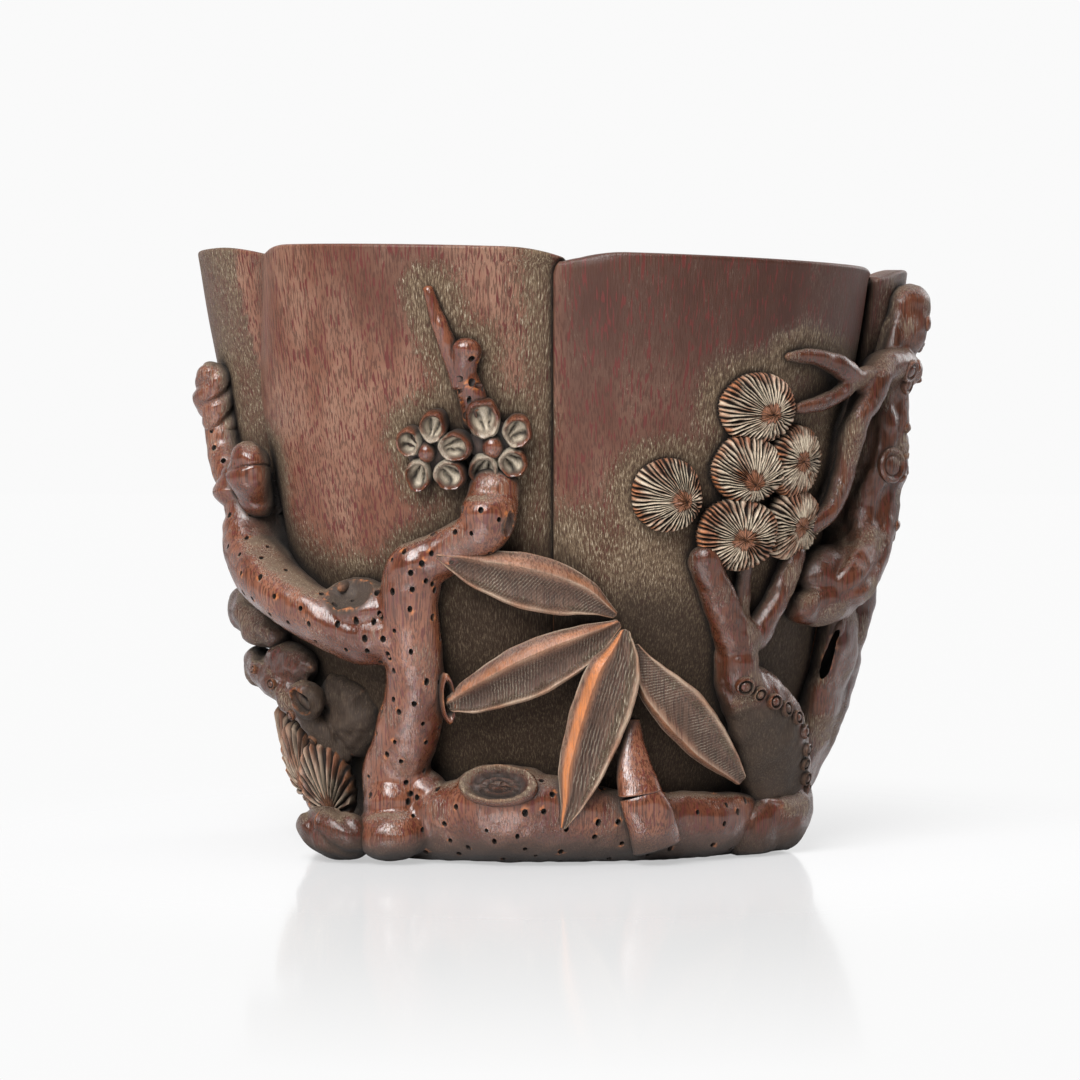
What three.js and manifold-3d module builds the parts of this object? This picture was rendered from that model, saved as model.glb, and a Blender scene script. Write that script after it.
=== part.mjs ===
// Libation cup of carved bamboo: a flaring five-petalled vessel with prunus, bamboo and pine
// carved over it in high relief. Millimetres, +Z up, front towards -Y, origin under the foot's middle.
// The cup and every carved limb, leaf, flower and needle pad is a solid of its own,
// seated on the wall of the vessel.
import * as THREE from "three";
import { mergeVertices } from "three/addons/utils/BufferGeometryUtils.js";
import Module from "manifold-3d";

const wasm = await Module();
wasm.setup();

// Vessel
const RIM_HEIGHT = 85.5;          // lip above the foot, at the middle of the front
const RIM_TILT = 1.4;             // the lip's rise at the left end and fall at the right end
const RIM_HALF_WIDTH = 52.2;
const LIP_FLARE_HEIGHT = 11;      // the stretch under the lip where the wall turns outwards
const NECK_HALF_WIDTH = 50.2;
const BELLY_HEIGHT = 38;
const BELLY_HALF_WIDTH = 42.3;
const FOOT_HALF_WIDTH = 30;
const PLAN_RATIO = 0.79;          // depth of the plan over its width
const LIP_WALL = 2.8;
const LIP_ROUND = 0.9;
const LOWER_WALL = 4.6;
const FLOOR_HEIGHT = 17;          // inside floor above the foot
const FLOOR_ROUND = 6;
const FOOT_CHAMFER = 0.8;

// Petals: five overlapping petals make the wall, and their bearings are those of the notches
const NOTCH_BEARINGS = [-65, 0, 72, 144, 215];
const NOTCH_DEPTH = 3.2;
const PETAL_OVERLAP = 1.6;        // step from one petal's proud edge to its neighbour's tucked edge
const NOTCH_LIP_DROP = 1.8;       // the lip's rounded corners fall by this much at a notch
const NOTCH_LIP_SPREAD = 5;       // degrees
const PETAL_FOOT = 25;            // below this height the petals have run out
const PETAL_FULL = 50;            // above this height the notches have their full depth

// Fits between the carved members
const SEAT_GAP = 0.3;
const MEMBER_GAP = 0.3;
const FLOOR_GAP = 0.3;            // carved members stop short of the surface that the foot stands on
const SEAT_RISE = 0.85;           // a limb's centre line stands this share of its radius off its seat

// Thickness of the carved members
const PRUNUS_ROOT_RADIUS = 4.6;
const PRUNUS_TRUNK_RADIUS = 4.0;
const PRUNUS_BRANCH_RADIUS = 3.2;
const PRUNUS_STUB_RADIUS = 1.7;
const PRUNUS_SPUR_RADIUS = 0.8;
const PRUNUS_KNOT_RADIUS = 3.4;
const PRUNUS_KNOT_HEIGHT = 3.6;
const BUD_RADIUS = 2.7;
const BLOSSOM_RADIUS = 4.3;
const BLOSSOM_HEIGHT = 2.6;
const BLOSSOM_LOBE = 0.16;        // how far the gaps between the five petals reach in
const LEAF_HALF_WIDTH = 3.6;
const LEAF_FLATNESS = 0.55;
const CULM_RADIUS = 3.0;
const PINE_TRUNK_RADIUS = 4.6;
const PINE_KNOB_RADIUS = 3.1;
const PINE_ROOT_RADIUS = 3.4;
const PINE_STUMP_RADIUS = 3.0;
const PINE_BRANCH_RADIUS = 2.0;
const PINE_STEM_RADIUS = 1.9;
const PINE_TWIG_RADIUS = 1.1;
const PAD_RADIUS = 5.4;
const PAD_HEIGHT = 3.2;
const PAD_EDGE = 1.5;             // height of a needle pad's rim above its seat
const ROCK_RADIUS = 3.6;
const LEFT_BRANCH_RADIUS = 3.1;
const FOOT_KNOB_RADIUS = 3.9;

// Facets: counts round a shape, and rings at shares of the rim's height or of a boss's radius
const PETAL_STEPS = 12;
const OUTSIDE_RINGS = [0.12, 0.25, 0.38, 0.5, 0.62, 0.75, 0.87, 0.94];
const INSIDE_RINGS = [0.94, 0.75, 0.5];
const LEVEL_RINGS_BELOW = 0.3;    // rings below this share of the height are level, whatever the lip does
const BOSS_SEAT_RING = 0.6;
const BOSS_CROWN_RING = 0.7;
const LIMB_SIDES = 8;
const CAP_STEPS = 2;
const PAD_SIDES = 18;
const BLOSSOM_SIDES = 20;

// Colours
const POLISHED_WALL = 0x6b4234;
const PRUNUS_WOOD = 0x70402f;
const PINE_WOOD = 0x5e3628;
const BAMBOO_WOOD = 0x6a4738;
const DUSTY_WOOD = 0x7d6550;
const POLISHED = 0.38;            // roughness
const CARVED = 0.42;

const { degToRad, radToDeg, clamp, lerp, smoothstep } = THREE.MathUtils;

const wallStations = new THREE.CubicInterpolant(
  [0, BELLY_HEIGHT, RIM_HEIGHT - LIP_FLARE_HEIGHT, RIM_HEIGHT + RIM_TILT],
  [FOOT_HALF_WIDTH, BELLY_HALF_WIDTH, NECK_HALF_WIDTH, RIM_HALF_WIDTH],
  1,
);

function halfWidth(height) {
  return wallStations.evaluate(clamp(height, 0, RIM_HEIGHT + RIM_TILT))[0];
}

// Which petal a bearing falls on, and where across it, from -1 at its proud edge to 1 at its tucked edge
function petalPlace(bearing) {
  const first = NOTCH_BEARINGS[0];
  const turned = first + THREE.MathUtils.euclideanModulo(bearing - first, 360);
  const index = NOTCH_BEARINGS.findLastIndex((notch) => turned >= notch);
  const start = NOTCH_BEARINGS[index];
  const end = NOTCH_BEARINGS[index + 1] ?? first + 360;
  return { start, end, across: (2 * (turned - start)) / (end - start) - 1 };
}

function petalInset(bearing, height) {
  const { across } = petalPlace(bearing);
  const share = smoothstep(height, PETAL_FOOT, PETAL_FULL);
  return share * (NOTCH_DEPTH * across ** 4 + (PETAL_OVERLAP / 2) * across);
}

function rimHeight(bearing) {
  const { start, end, across } = petalPlace(bearing);
  const fromNotch = ((1 - Math.abs(across)) * (end - start)) / 2;
  const corner = NOTCH_LIP_DROP * Math.exp(-((fromNotch / NOTCH_LIP_SPREAD) ** 2));
  return RIM_HEIGHT - RIM_TILT * Math.sin(degToRad(bearing)) - corner;
}

// A point standing `out` from the petalled wall, at a bearing from the front and a height over the foot
function onWall(bearing, height, out) {
  const turn = degToRad(bearing);
  const wide = halfWidth(height);
  const deep = wide * PLAN_RATIO;
  const normal = new THREE.Vector2(deep * Math.sin(turn), -wide * Math.cos(turn)).normalize();
  const off = out - petalInset(bearing, height);
  return new THREE.Vector3(
    wide * Math.sin(turn) + normal.x * off,
    -deep * Math.cos(turn) + normal.y * off,
    height,
  );
}

function wallMmPerDegree(bearing, height) {
  const turn = degToRad(bearing);
  const wide = halfWidth(height);
  return Math.hypot(wide * Math.cos(turn), wide * PLAN_RATIO * Math.sin(turn)) / radToDeg(1);
}

function moveVertices(geometry, move) {
  const position = geometry.getAttribute("position");
  const point = new THREE.Vector3();
  for (let i = 0; i < position.count; i += 1) {
    const moved = move(point.fromBufferAttribute(position, i), i);
    position.setXYZ(i, moved.x, moved.y, moved.z);
  }
  return geometry;
}

function toSolid(geometry) {
  geometry.deleteAttribute("normal");
  geometry.deleteAttribute("uv");
  const merged = mergeVertices(geometry, 1e-3);
  const corners = merged.getIndex().array;
  const triangles = [];
  for (let i = 0; i < corners.length; i += 3) {
    const [a, b, c] = corners.slice(i, i + 3);
    if (a !== b && b !== c && c !== a) triangles.push(a, b, c);
  }
  return new wasm.Manifold(
    new wasm.Mesh({
      numProp: 3,
      vertProperties: new Float32Array(merged.getAttribute("position").array),
      triVerts: new Uint32Array(triangles),
    }),
  );
}

function toGeometry(solid) {
  const mesh = solid.getMesh();
  const geometry = new THREE.BufferGeometry();
  geometry.setAttribute("position", new THREE.BufferAttribute(mesh.vertProperties, 3));
  geometry.setIndex(new THREE.BufferAttribute(mesh.triVerts, 1));
  geometry.computeVertexNormals();
  return geometry;
}

// The vessel: a lathe profile from under the foot, up the outside, over the lip, down the inside
// and across the floor, whose rings are then drawn out to the petalled plan. It can be grown outwards.
function cupBody(grow = 0) {
  const wallAt = (share) => lerp(LOWER_WALL, LIP_WALL, share);
  const ring = (share, out, scale = 1, lift = 0) => ({ share, out, scale, lift });
  const outside = OUTSIDE_RINGS.map((share) => ring(share, grow));
  const floorTop = (FLOOR_HEIGHT + FLOOR_ROUND) / RIM_HEIGHT;
  const inside = [...INSIDE_RINGS, floorTop].map((share) => ring(share, -wallAt(share)));
  const profile = [
    ring(0, 0, 0),
    ring(0, grow - FOOT_CHAMFER),
    ring(0, grow, 1, FOOT_CHAMFER),
    ...outside,
    ring(1, grow, 1, -LIP_ROUND),
    ring(1, grow - LIP_ROUND),
    ring(1, LIP_ROUND - LIP_WALL),
    ring(1, -LIP_WALL, 1, -LIP_ROUND),
    ...inside,
    ring(FLOOR_HEIGHT / RIM_HEIGHT, -LOWER_WALL - FLOOR_ROUND),
    ring(FLOOR_HEIGHT / RIM_HEIGHT, 0, 0),
  ];
  const bearings = [];
  NOTCH_BEARINGS.forEach((start, index) => {
    const end = NOTCH_BEARINGS[index + 1] ?? NOTCH_BEARINGS[0] + 360;
    for (let step = 0; step < PETAL_STEPS; step += 1) {
      bearings.push(lerp(start, end, (1 - Math.cos((Math.PI * step) / PETAL_STEPS)) / 2));
    }
  });
  const outline = profile.map(({ scale }, index) => new THREE.Vector2(scale, index));
  const lathe = new THREE.LatheGeometry(outline, bearings.length);
  return moveVertices(lathe, (_, index) => {
    const { share, out, scale, lift } = profile[index % profile.length];
    const bearing = bearings[Math.floor(index / profile.length) % bearings.length];
    const lipShare = smoothstep(share, LEVEL_RINGS_BELOW, 1);
    const height = share * lerp(RIM_HEIGHT, rimHeight(bearing), lipShare) + lift;
    const point = onWall(bearing, height, out);
    return point.set(point.x * scale, point.y * scale, point.z);
  });
}

// A limb laid along the wall. Each stop on its route has a bearing in degrees, a height in hundredths
// of the rim's height, a share of the limb's radius, and how far the limb rides up over the prunus root,
// in root radii. Its back is flat, a seat's gap off the wall.
function limb(radius, route, { flatness = 1, steps = 3 * route.length - 3 } = {}) {
  const stops = route.map(([bearing, level]) => new THREE.Vector3(bearing, (level / 100) * RIM_HEIGHT, 0));
  const path = new THREE.CatmullRomCurve3(stops);
  const along = (share, column) => {
    const place = share * (route.length - 1);
    const stop = Math.min(Math.floor(place), route.length - 2);
    return lerp(route[stop][column] ?? 0, route[stop + 1][column] ?? 0, place - stop);
  };
  return (grow) => {
    const capsule = new THREE.CapsuleGeometry(1, 1, CAP_STEPS, LIMB_SIDES, steps);
    return moveVertices(capsule, ({ x, y, z }) => {
      const share = clamp(y + 0.5, 0, 1);
      const centre = path.getPoint(share);
      const tangent = path.getTangent(share);
      const mmPerDegree = wallMmPerDegree(centre.x, centre.y);
      const heading = new THREE.Vector2(tangent.x * mmPerDegree, tangent.y).normalize();
      const thick = radius * along(share, 2);
      const half = thick + grow;
      const past = (y - clamp(y, -0.5, 0.5)) * half;
      const side = heading.x * past + heading.y * x * half;
      const rise = heading.y * past - heading.x * x * half;
      const ride = along(share, 3) * PRUNUS_ROOT_RADIUS;
      const stand = SEAT_GAP + ride + thick * flatness * SEAT_RISE;
      const seat = grow > 0 ? -grow : SEAT_GAP;
      const out = Math.max(stand + z * (thick * flatness + grow), seat);
      const height = Math.max(centre.y + rise, FLOOR_GAP - grow);
      return onWall(centre.x + side / mmPerDegree, height, out);
    });
  };
}

// A low round boss on the wall: a needle pad, a knot, or with lobes a five-petalled flower
function boss(radius, tall, [bearing, level], { edge = tall / 2, lobe = 0, sides = PAD_SIDES } = {}) {
  const height = (level / 100) * RIM_HEIGHT;
  return (grow) => {
    const outline = [
      [0, 0],
      [BOSS_SEAT_RING, 0],
      [1, 0],
      [1, edge],
      [BOSS_CROWN_RING, lerp(edge, tall, BOSS_CROWN_RING)],
      [0, tall],
    ];
    const points = outline.map(([share], index) => new THREE.Vector2(share, index));
    const lathe = new THREE.LatheGeometry(points, sides);
    return moveVertices(lathe, ({ x, z }, index) => {
      const [share, up] = outline[index % outline.length];
      const turn = Math.atan2(x, z);
      const lobed = 1 - lobe * (0.5 - 0.5 * Math.cos(5 * turn));
      const reach = share * (radius * lobed + grow);
      const side = reach * Math.sin(turn);
      const rise = -reach * Math.cos(turn);
      const out = up > 0 ? SEAT_GAP + up + grow : SEAT_GAP - 2 * grow;
      const at = Math.max(height + rise, FLOOR_GAP - grow);
      return onWall(bearing + side / wallMmPerDegree(bearing, height), at, out);
    });
  };
}

const cup = new THREE.Group();
const placed = [toSolid(cupBody(SEAT_GAP / 2))];

function addMesh(name, geometry, color, roughness) {
  const mesh = new THREE.Mesh(geometry, new THREE.MeshStandardMaterial({ color, roughness, metalness: 0 }));
  mesh.name = name;
  cup.add(mesh);
}

// Members are placed from the front of the relief to the back: each one gives way, by the members' gap,
// to those placed before it, and stays one piece
function addMember(name, make, color) {
  const cut = placed.reduce((left, earlier) => left.subtract(earlier), toSolid(make(0)));
  const [largest] = cut.decompose().sort((a, b) => b.volume() - a.volume());
  addMesh(name, toGeometry(largest), color, CARVED);
  placed.push(toSolid(make(MEMBER_GAP)));
}

function addLimbs(limbs, color, shape) {
  for (const [name, [radius, route]] of Object.entries(limbs)) {
    addMember(name, limb(radius, route, shape), color);
  }
}

function addBosses(bosses, color, radius, tall, shape) {
  for (const [name, place] of Object.entries(bosses)) {
    addMember(name, boss(radius, tall, place, shape), color);
  }
}

addMesh("cup_body", toGeometry(toSolid(cupBody())), POLISHED_WALL, POLISHED);

// Bamboo sprig, in front of everything: leaves fan out from the top of a short culm
const leaves = {
  bamboo_leaf_top: [LEAF_HALF_WIDTH, [
    [-20, 49.6, 0.26, 0.85], [-12, 48.6, 0.75, 0.4], [-4, 46.6, 0.86], [4.5, 44.2, 0.75], [10.5, 41.8, 0.3],
  ]],
  bamboo_leaf_left: [LEAF_HALF_WIDTH, [
    [-18.6, 26.6, 0.5], [-11.4, 29, 1], [-2.3, 33, 1.05], [5.4, 36.6, 0.8], [10.6, 39, 0.32],
  ]],
  bamboo_leaf_down: [LEAF_HALF_WIDTH, [
    [14.6, 36.2, 0.35], [12.4, 29, 1], [9.2, 20, 1.1, 0.35], [5.7, 12.2, 0.75, 0.9], [3, 7, 0.3, 1.1],
  ]],
  bamboo_leaf_right: [LEAF_HALF_WIDTH, [
    [17.5, 34.4, 0.3], [21.3, 28.8, 0.75], [28.3, 23, 0.86], [35.3, 17.3, 0.65], [40.5, 13.2, 0.26],
  ]],
};
addLimbs(leaves, BAMBOO_WOOD, { flatness: LEAF_FLATNESS });
const culms = {
  bamboo_culm_lower: [CULM_RADIUS, [[25, 3, 1.1, 1], [21.8, 6, 1.05, 1], [18.6, 10.2, 0.95, 0.9]]],
  bamboo_culm_upper: [CULM_RADIUS, [[17, 13.6, 0.9, 0.7], [15, 18, 0.8, 0.4], [13.8, 23, 0.7]]],
};
addLimbs(culms, BAMBOO_WOOD);

// Prunus: flowers and buds, trunk and branches, and the root along the foot
const flowers = { plum_blossom_left: [-20, 67.4], plum_blossom_right: [-9.6, 68.2] };
addBosses(flowers, PRUNUS_WOOD, BLOSSOM_RADIUS, BLOSSOM_HEIGHT, { lobe: BLOSSOM_LOBE, sides: BLOSSOM_SIDES });
const prunus = {
  plum_bud_lower: [BUD_RADIUS, [[-67.6, 61.4, 1.05], [-66, 66.8, 1.05]]],
  plum_bud_upper: [BUD_RADIUS, [[-78.6, 73.6, 0.85], [-77.2, 79.4, 0.95]]],
  prunus_trunk: [PRUNUS_TRUNK_RADIUS, [
    [-38, 9, 1.05], [-36.5, 14, 1.05], [-31.5, 21, 1], [-27.5, 28.6, 0.97],
    [-27, 36, 0.95], [-26.5, 43.4, 0.95], [-24.6, 48.4, 0.9],
  ]],
  prunus_upper_branch: [PRUNUS_BRANCH_RADIUS, [
    [-21.5, 50, 0.9], [-17, 52.2, 0.95], [-12, 54.9, 1.05], [-10, 58.2, 1.12], [-9.9, 61.5, 1.05],
  ]],
  prunus_left_branch: [PRUNUS_BRANCH_RADIUS, [
    [-31, 37.6, 1.05], [-39, 38.2, 1.05], [-45.5, 42.1, 1], [-55, 45.6, 1], [-67, 49.8, 0.95],
  ]],
  prunus_branch_tip: [PRUNUS_BRANCH_RADIUS, [
    [-71, 51.5, 0.9], [-74.5, 56, 0.85], [-76.4, 60.5, 0.75], [-78, 66, 0.7], [-78.7, 69.6, 0.65],
  ]],
  prunus_stub: [PRUNUS_STUB_RADIUS, [[-13, 75.5, 1.1], [-14, 80, 0.9], [-13.4, 84, 1]]],
  prunus_spur: [PRUNUS_SPUR_RADIUS, [[-15.6, 80, 1.1], [-17.2, 85.5, 0.9], [-19.1, 92.5, 0.55]]],
  prunus_root: [PRUNUS_ROOT_RADIUS, [
    [54, 4.6, 0.72], [44, 5.8, 0.86], [33, 6, 0.95], [18, 6, 1],
    [3, 6.4, 1], [-11, 6.6, 1.03], [-25, 6, 1], [-36, 5.8, 1],
  ]],
};
addLimbs(prunus, PRUNUS_WOOD);
addBosses({ prunus_knot: [-38.6, 44.8] }, PRUNUS_WOOD, PRUNUS_KNOT_RADIUS, PRUNUS_KNOT_HEIGHT);

// Pine on the right: round needle pads, the stems that carry them, and the old trunk
const needlePads = {
  pine_pad_1: [33.9, 75.1], pine_pad_5: [32, 54.2], pine_pad_3: [32, 64.7],
  pine_pad_2: [19.6, 60.6], pine_pad_4: [42.4, 66], pine_pad_6: [45.2, 55.3],
};
addBosses(needlePads, DUSTY_WOOD, PAD_RADIUS, PAD_HEIGHT, { edge: PAD_EDGE });
const pine = {
  pine_branch: [PINE_BRANCH_RADIUS, [
    [66, 81.6, 1.1], [57.5, 78.4, 1.05], [54, 72.4, 0.95], [53.8, 65, 0.95], [52.6, 58, 0.85],
  ]],
  pine_twig_upper: [PINE_TWIG_RADIUS, [[55, 80.2, 1.1], [49, 81.2, 1], [43.5, 81.8, 0.9], [39.3, 82.6, 0.6]]],
  pine_twig_lower: [PINE_TWIG_RADIUS, [[52.5, 78.6, 1], [48.3, 76.3, 1], [44.7, 74.9, 0.8], [42, 74.4, 0.7]]],
  pine_trunk: [PINE_TRUNK_RADIUS, [
    [79, 82.5, 0.85], [79.5, 76, 0.95], [80, 68, 1], [77.5, 58.5, 1],
    [71, 50.5, 0.95], [63, 44.5, 0.9], [58, 41.8, 0.85],
  ]],
  pine_trunk_knob: [PINE_KNOB_RADIUS, [[81, 92.5, 1], [80.5, 90, 1]]],
  pine_root: [PINE_ROOT_RADIUS, [
    [84, 46, 0.75], [88, 38.6, 0.95], [88.5, 28, 1], [88.5, 17.5, 1], [88, 7, 0.95],
  ]],
  pine_stem_middle: [PINE_STEM_RADIUS, [[34.6, 47, 0.6], [36.4, 41.5, 0.75], [37.2, 38, 0.8]]],
  pine_stem_left: [PINE_STEM_RADIUS, [[26.7, 47.4, 0.75], [31.4, 41.3, 0.95], [35.4, 36.4, 1]]],
  pine_stem_right: [PINE_STEM_RADIUS, [[45, 47.6, 0.8], [41.6, 41.5, 0.9], [38.8, 36.6, 0.95]]],
  pine_stump: [PINE_STUMP_RADIUS, [
    [37.2, 33.4, 0.8], [38, 29.2, 1], [45, 26.1, 1], [54, 22, 0.95], [61, 16, 0.9], [66, 10.5, 0.8],
  ]],
};
addLimbs(pine, PINE_WOOD);

// Left end: a gnarled pine branch with pads seen edge on, a rock and a knob at the foot
const leftEnd = {
  foot_knob: [FOOT_KNOB_RADIUS, [[-56, 5.2, 1], [-50, 5, 1]]],
  left_pine_branch: [LEFT_BRANCH_RADIUS, [[-83, 31.5, 0.8], [-70, 28, 1], [-58, 23.5, 1.05], [-50, 18, 1]]],
  left_rock: [ROCK_RADIUS, [[-84, 41, 0.7], [-76, 38, 0.8], [-66, 33.5, 0.75]]],
};
addLimbs(leftEnd, PINE_WOOD);
const leftPads = { left_pad_1: [-50.5, 12], left_pad_2: [-63, 14.8], left_pad_3: [-81, 17.4] };
addBosses(leftPads, DUSTY_WOOD, PAD_RADIUS, PAD_HEIGHT, { edge: PAD_EDGE });

// Back: the prunus root runs on and sends up a flowering branch, beside leaves and a pine branch
addBosses({ plum_blossom_back: [222, 62] }, PRUNUS_WOOD, BLOSSOM_RADIUS, BLOSSOM_HEIGHT, {
  lobe: BLOSSOM_LOBE,
  sides: BLOSSOM_SIDES,
});
const backLeaves = {
  bamboo_leaf_back_1: [LEAF_HALF_WIDTH, [[172, 41, 0.3], [164, 36, 0.85], [157, 30, 0.9], [150, 24, 0.3]]],
  bamboo_leaf_back_2: [LEAF_HALF_WIDTH, [[178, 39, 0.3], [178, 32, 0.9], [180, 24, 1], [184, 16, 0.3]]],
  bamboo_leaf_back_3: [LEAF_HALF_WIDTH, [[183, 42, 0.3], [190, 45, 0.8], [198, 46, 0.85], [206, 44, 0.3]]],
};
addLimbs(backLeaves, BAMBOO_WOOD, { flatness: LEAF_FLATNESS });
const backPads = { pine_pad_back_1: [124, 72], pine_pad_back_2: [140, 66], pine_pad_back_3: [150, 54] };
addBosses(backPads, DUSTY_WOOD, PAD_RADIUS, PAD_HEIGHT, { edge: PAD_EDGE });
const back = {
  pine_branch_back: [PINE_BRANCH_RADIUS, [[96, 66, 1.3], [108, 64, 1.2], [121, 61, 1], [134, 56, 0.8]]],
  prunus_root_back: [PRUNUS_ROOT_RADIUS, [
    [266, 6, 0.85], [245, 6, 1], [220, 6, 1], [195, 5.6, 0.9], [178, 5, 0.75],
  ]],
  prunus_branch_back: [PRUNUS_BRANCH_RADIUS, [
    [232, 15, 1.05], [228, 24, 1], [221, 34, 0.95], [218, 44, 0.85], [221, 53, 0.7],
  ]],
  rock_back: [ROCK_RADIUS, [[104, 6, 0.9], [122, 6.4, 1.1], [142, 5.6, 1], [162, 5, 0.75]]],
};
addLimbs(back, PRUNUS_WOOD);

export default cup;
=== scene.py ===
import math
import random
from bisect import bisect_right

import bmesh
import bpy
import numpy as np
from bpy.props import FloatProperty, FloatVectorProperty, PointerProperty
from mathutils import Matrix, Vector, noise
from mathutils.bvhtree import BVHTree
from mathutils.kdtree import KDTree


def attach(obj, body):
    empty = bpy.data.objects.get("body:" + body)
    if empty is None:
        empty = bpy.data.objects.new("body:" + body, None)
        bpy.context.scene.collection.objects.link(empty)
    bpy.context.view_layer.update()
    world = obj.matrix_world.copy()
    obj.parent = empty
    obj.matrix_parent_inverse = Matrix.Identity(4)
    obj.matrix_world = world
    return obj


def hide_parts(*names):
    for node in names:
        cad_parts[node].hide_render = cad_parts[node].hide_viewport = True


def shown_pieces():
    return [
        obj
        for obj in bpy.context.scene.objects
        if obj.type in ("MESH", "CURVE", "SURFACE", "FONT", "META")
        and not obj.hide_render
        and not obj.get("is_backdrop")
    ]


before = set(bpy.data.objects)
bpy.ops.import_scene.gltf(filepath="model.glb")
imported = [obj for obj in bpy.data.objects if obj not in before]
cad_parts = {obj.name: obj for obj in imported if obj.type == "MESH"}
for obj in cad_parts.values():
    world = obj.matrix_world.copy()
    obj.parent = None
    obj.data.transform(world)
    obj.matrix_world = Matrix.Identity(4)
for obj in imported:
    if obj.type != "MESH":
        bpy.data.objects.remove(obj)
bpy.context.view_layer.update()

bl_info = {
    "name": "Carved bamboo libation cup",
    "version": (1, 0, 0),
    "blender": (4, 5, 0),
    "location": "3D View > Sidebar > Libation Cup",
    "description": "Builds a petalled bamboo cup with prunus, bamboo and pine carved over it",
    "category": "Add Mesh",
}

# Modelling is done in millimetres on the vessel's wall, and each finished piece is brought to metres.
MM = 0.001
SEAT_RISE = 0.85  # a limb's middle stands this share of its radius off the wall
FLOOR_GAP = 0.3  # limbs stay this far off the floor
ROOT_RADIUS = 4.6  # of the prunus root, by which a limb's ride over others is measured

NOTCHES = (-65, 0, 72, 144, 215)  # bearings between the petals, in degrees from the front
LEANS = (9, 0, -1, 0, 0)  # how far each notch leans towards its proud petal at the rim, in degrees
PETAL_DROPS = (0.35, 0.65, 0.3, 0.3, 0.3)  # how far each petal's rim lies under the tallest
CORNERS = (0.5, 2.6, 1.2, 2.0, 2.0)  # rounding of each proud petal's upper corner
STEPS = (1.7, 1.6, 2.4, 1.6, 1.6)  # step from proud edge to tucked edge at each notch
PETAL_COLUMNS = 54  # columns of faces across a petal
TUCK = 1.0  # how far a tucked edge runs on under its neighbour
# Proud edge of a petal, from under it to its face: distance along the wall, share of the edge's thickness
EDGE_FOLD = ((0.9, 1.1), (0.2, 1.0), (0.04, 0.86), (0.0, 0.5), (0.05, 0.2), (0.2, 0.04))
EDGE_FACE = 0.45  # distance along the wall at which the fold has become the face
FOLD_SHARE = 0.62  # thickness of a proud edge, as a share of its step
CORNER_FALL, CORNER_RUN = 1.4, 8.0  # fall of the rim at a petal's proud corner, and how far along it runs
TUCK_FALL, TUCK_RUN = 1.6, 10.6  # the same at its tucked corner
WALL_STEPS = 400  # steps in the wall's list of widths
ROUTE_STEPS = 40  # steps from one stop of a route to the next
# Marks the carving leaves: bare wood, dirt with painted shade, dust, stain, pale dust with painted
# highlights, and fine lines by share and place
MARKS = ("wear", "cut", "dust", "stain", "pale", "hatch", "phase")
LINE_PITCH = 0.45  # from one fine chisel line to the next
# Painted shade: carving this near darkens the wood beside it, together with dirt
SKY_REACH = 7.0  # how far off carving still shelters the wood beside it
CONTACT_REACH = 1.6  # how far dirt and painted contact shadow reach from where two pieces meet
DARK_SHARE = 0.38  # how much of its colour a dark fibre keeps
# Patterns of the wood: grain across and along the fibres in millimetres, detail and roughness. Bundles
# are thin dashes, fibres lie between them, and grit is the dust that fine scratches hold.
GRAINS = {
    "bundles": (0.3, 20.0, 0.0, 0.55),
    "fibres": (0.22, 30.0, 3.0, 0.55),
    "patches": (6.0, 14.0, 3.0, 0.55),
    "grit": (0.16, 2.4, 4.0, 0.74),
    "specks": (0.6, 0.9, 2.0, 0.55),
}


def smooth(value, low, high):
    """0 below low, 1 above high, and an even S between them."""
    share = min(max((value - low) / (high - low), 0.0), 1.0)
    return share * share * (3 - 2 * share)


def mix(a, b, share):
    return a + (b - a) * share


def rough(point, grain, seed=0.0):
    """Even unevenness between about -1 and 1, with lumps about one grain wide."""
    return noise.noise(Vector(point) / grain + Vector((seed, 1.7 * seed, -seed)))


def cubic(stations, values, at):
    """A smooth line through the stations with no bend at its two ends."""
    k = min(max(bisect_right(stations, at) - 1, 0), len(stations) - 2)
    t0, t1 = stations[k], stations[k + 1]
    before = (stations[k - 1], values[k - 1]) if k else (t1, values[k + 1])
    after = (stations[k + 2], values[k + 2]) if k + 2 < len(stations) else (t0, values[k])
    half = (t1 - t0) / 2
    pull_before = half / (t0 - before[0])
    pull_after = half / (after[0] - t1)
    p = (at - t0) / (t1 - t0)
    shares = (
        pull_before * (-(p**3) + 2 * p**2 - p),
        (1 + pull_before) * p**3 - (1.5 + 2 * pull_before) * p**2 + (pull_before - 0.5) * p + 1,
        -(1 + pull_after) * p**3 + (1.5 + pull_after) * p**2 + 0.5 * p,
        pull_after * (p**3 - p**2),
    )
    ends = (before[1], values[k], values[k + 1], after[1])
    return sum(share * value for share, value in zip(shares, ends))


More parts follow.
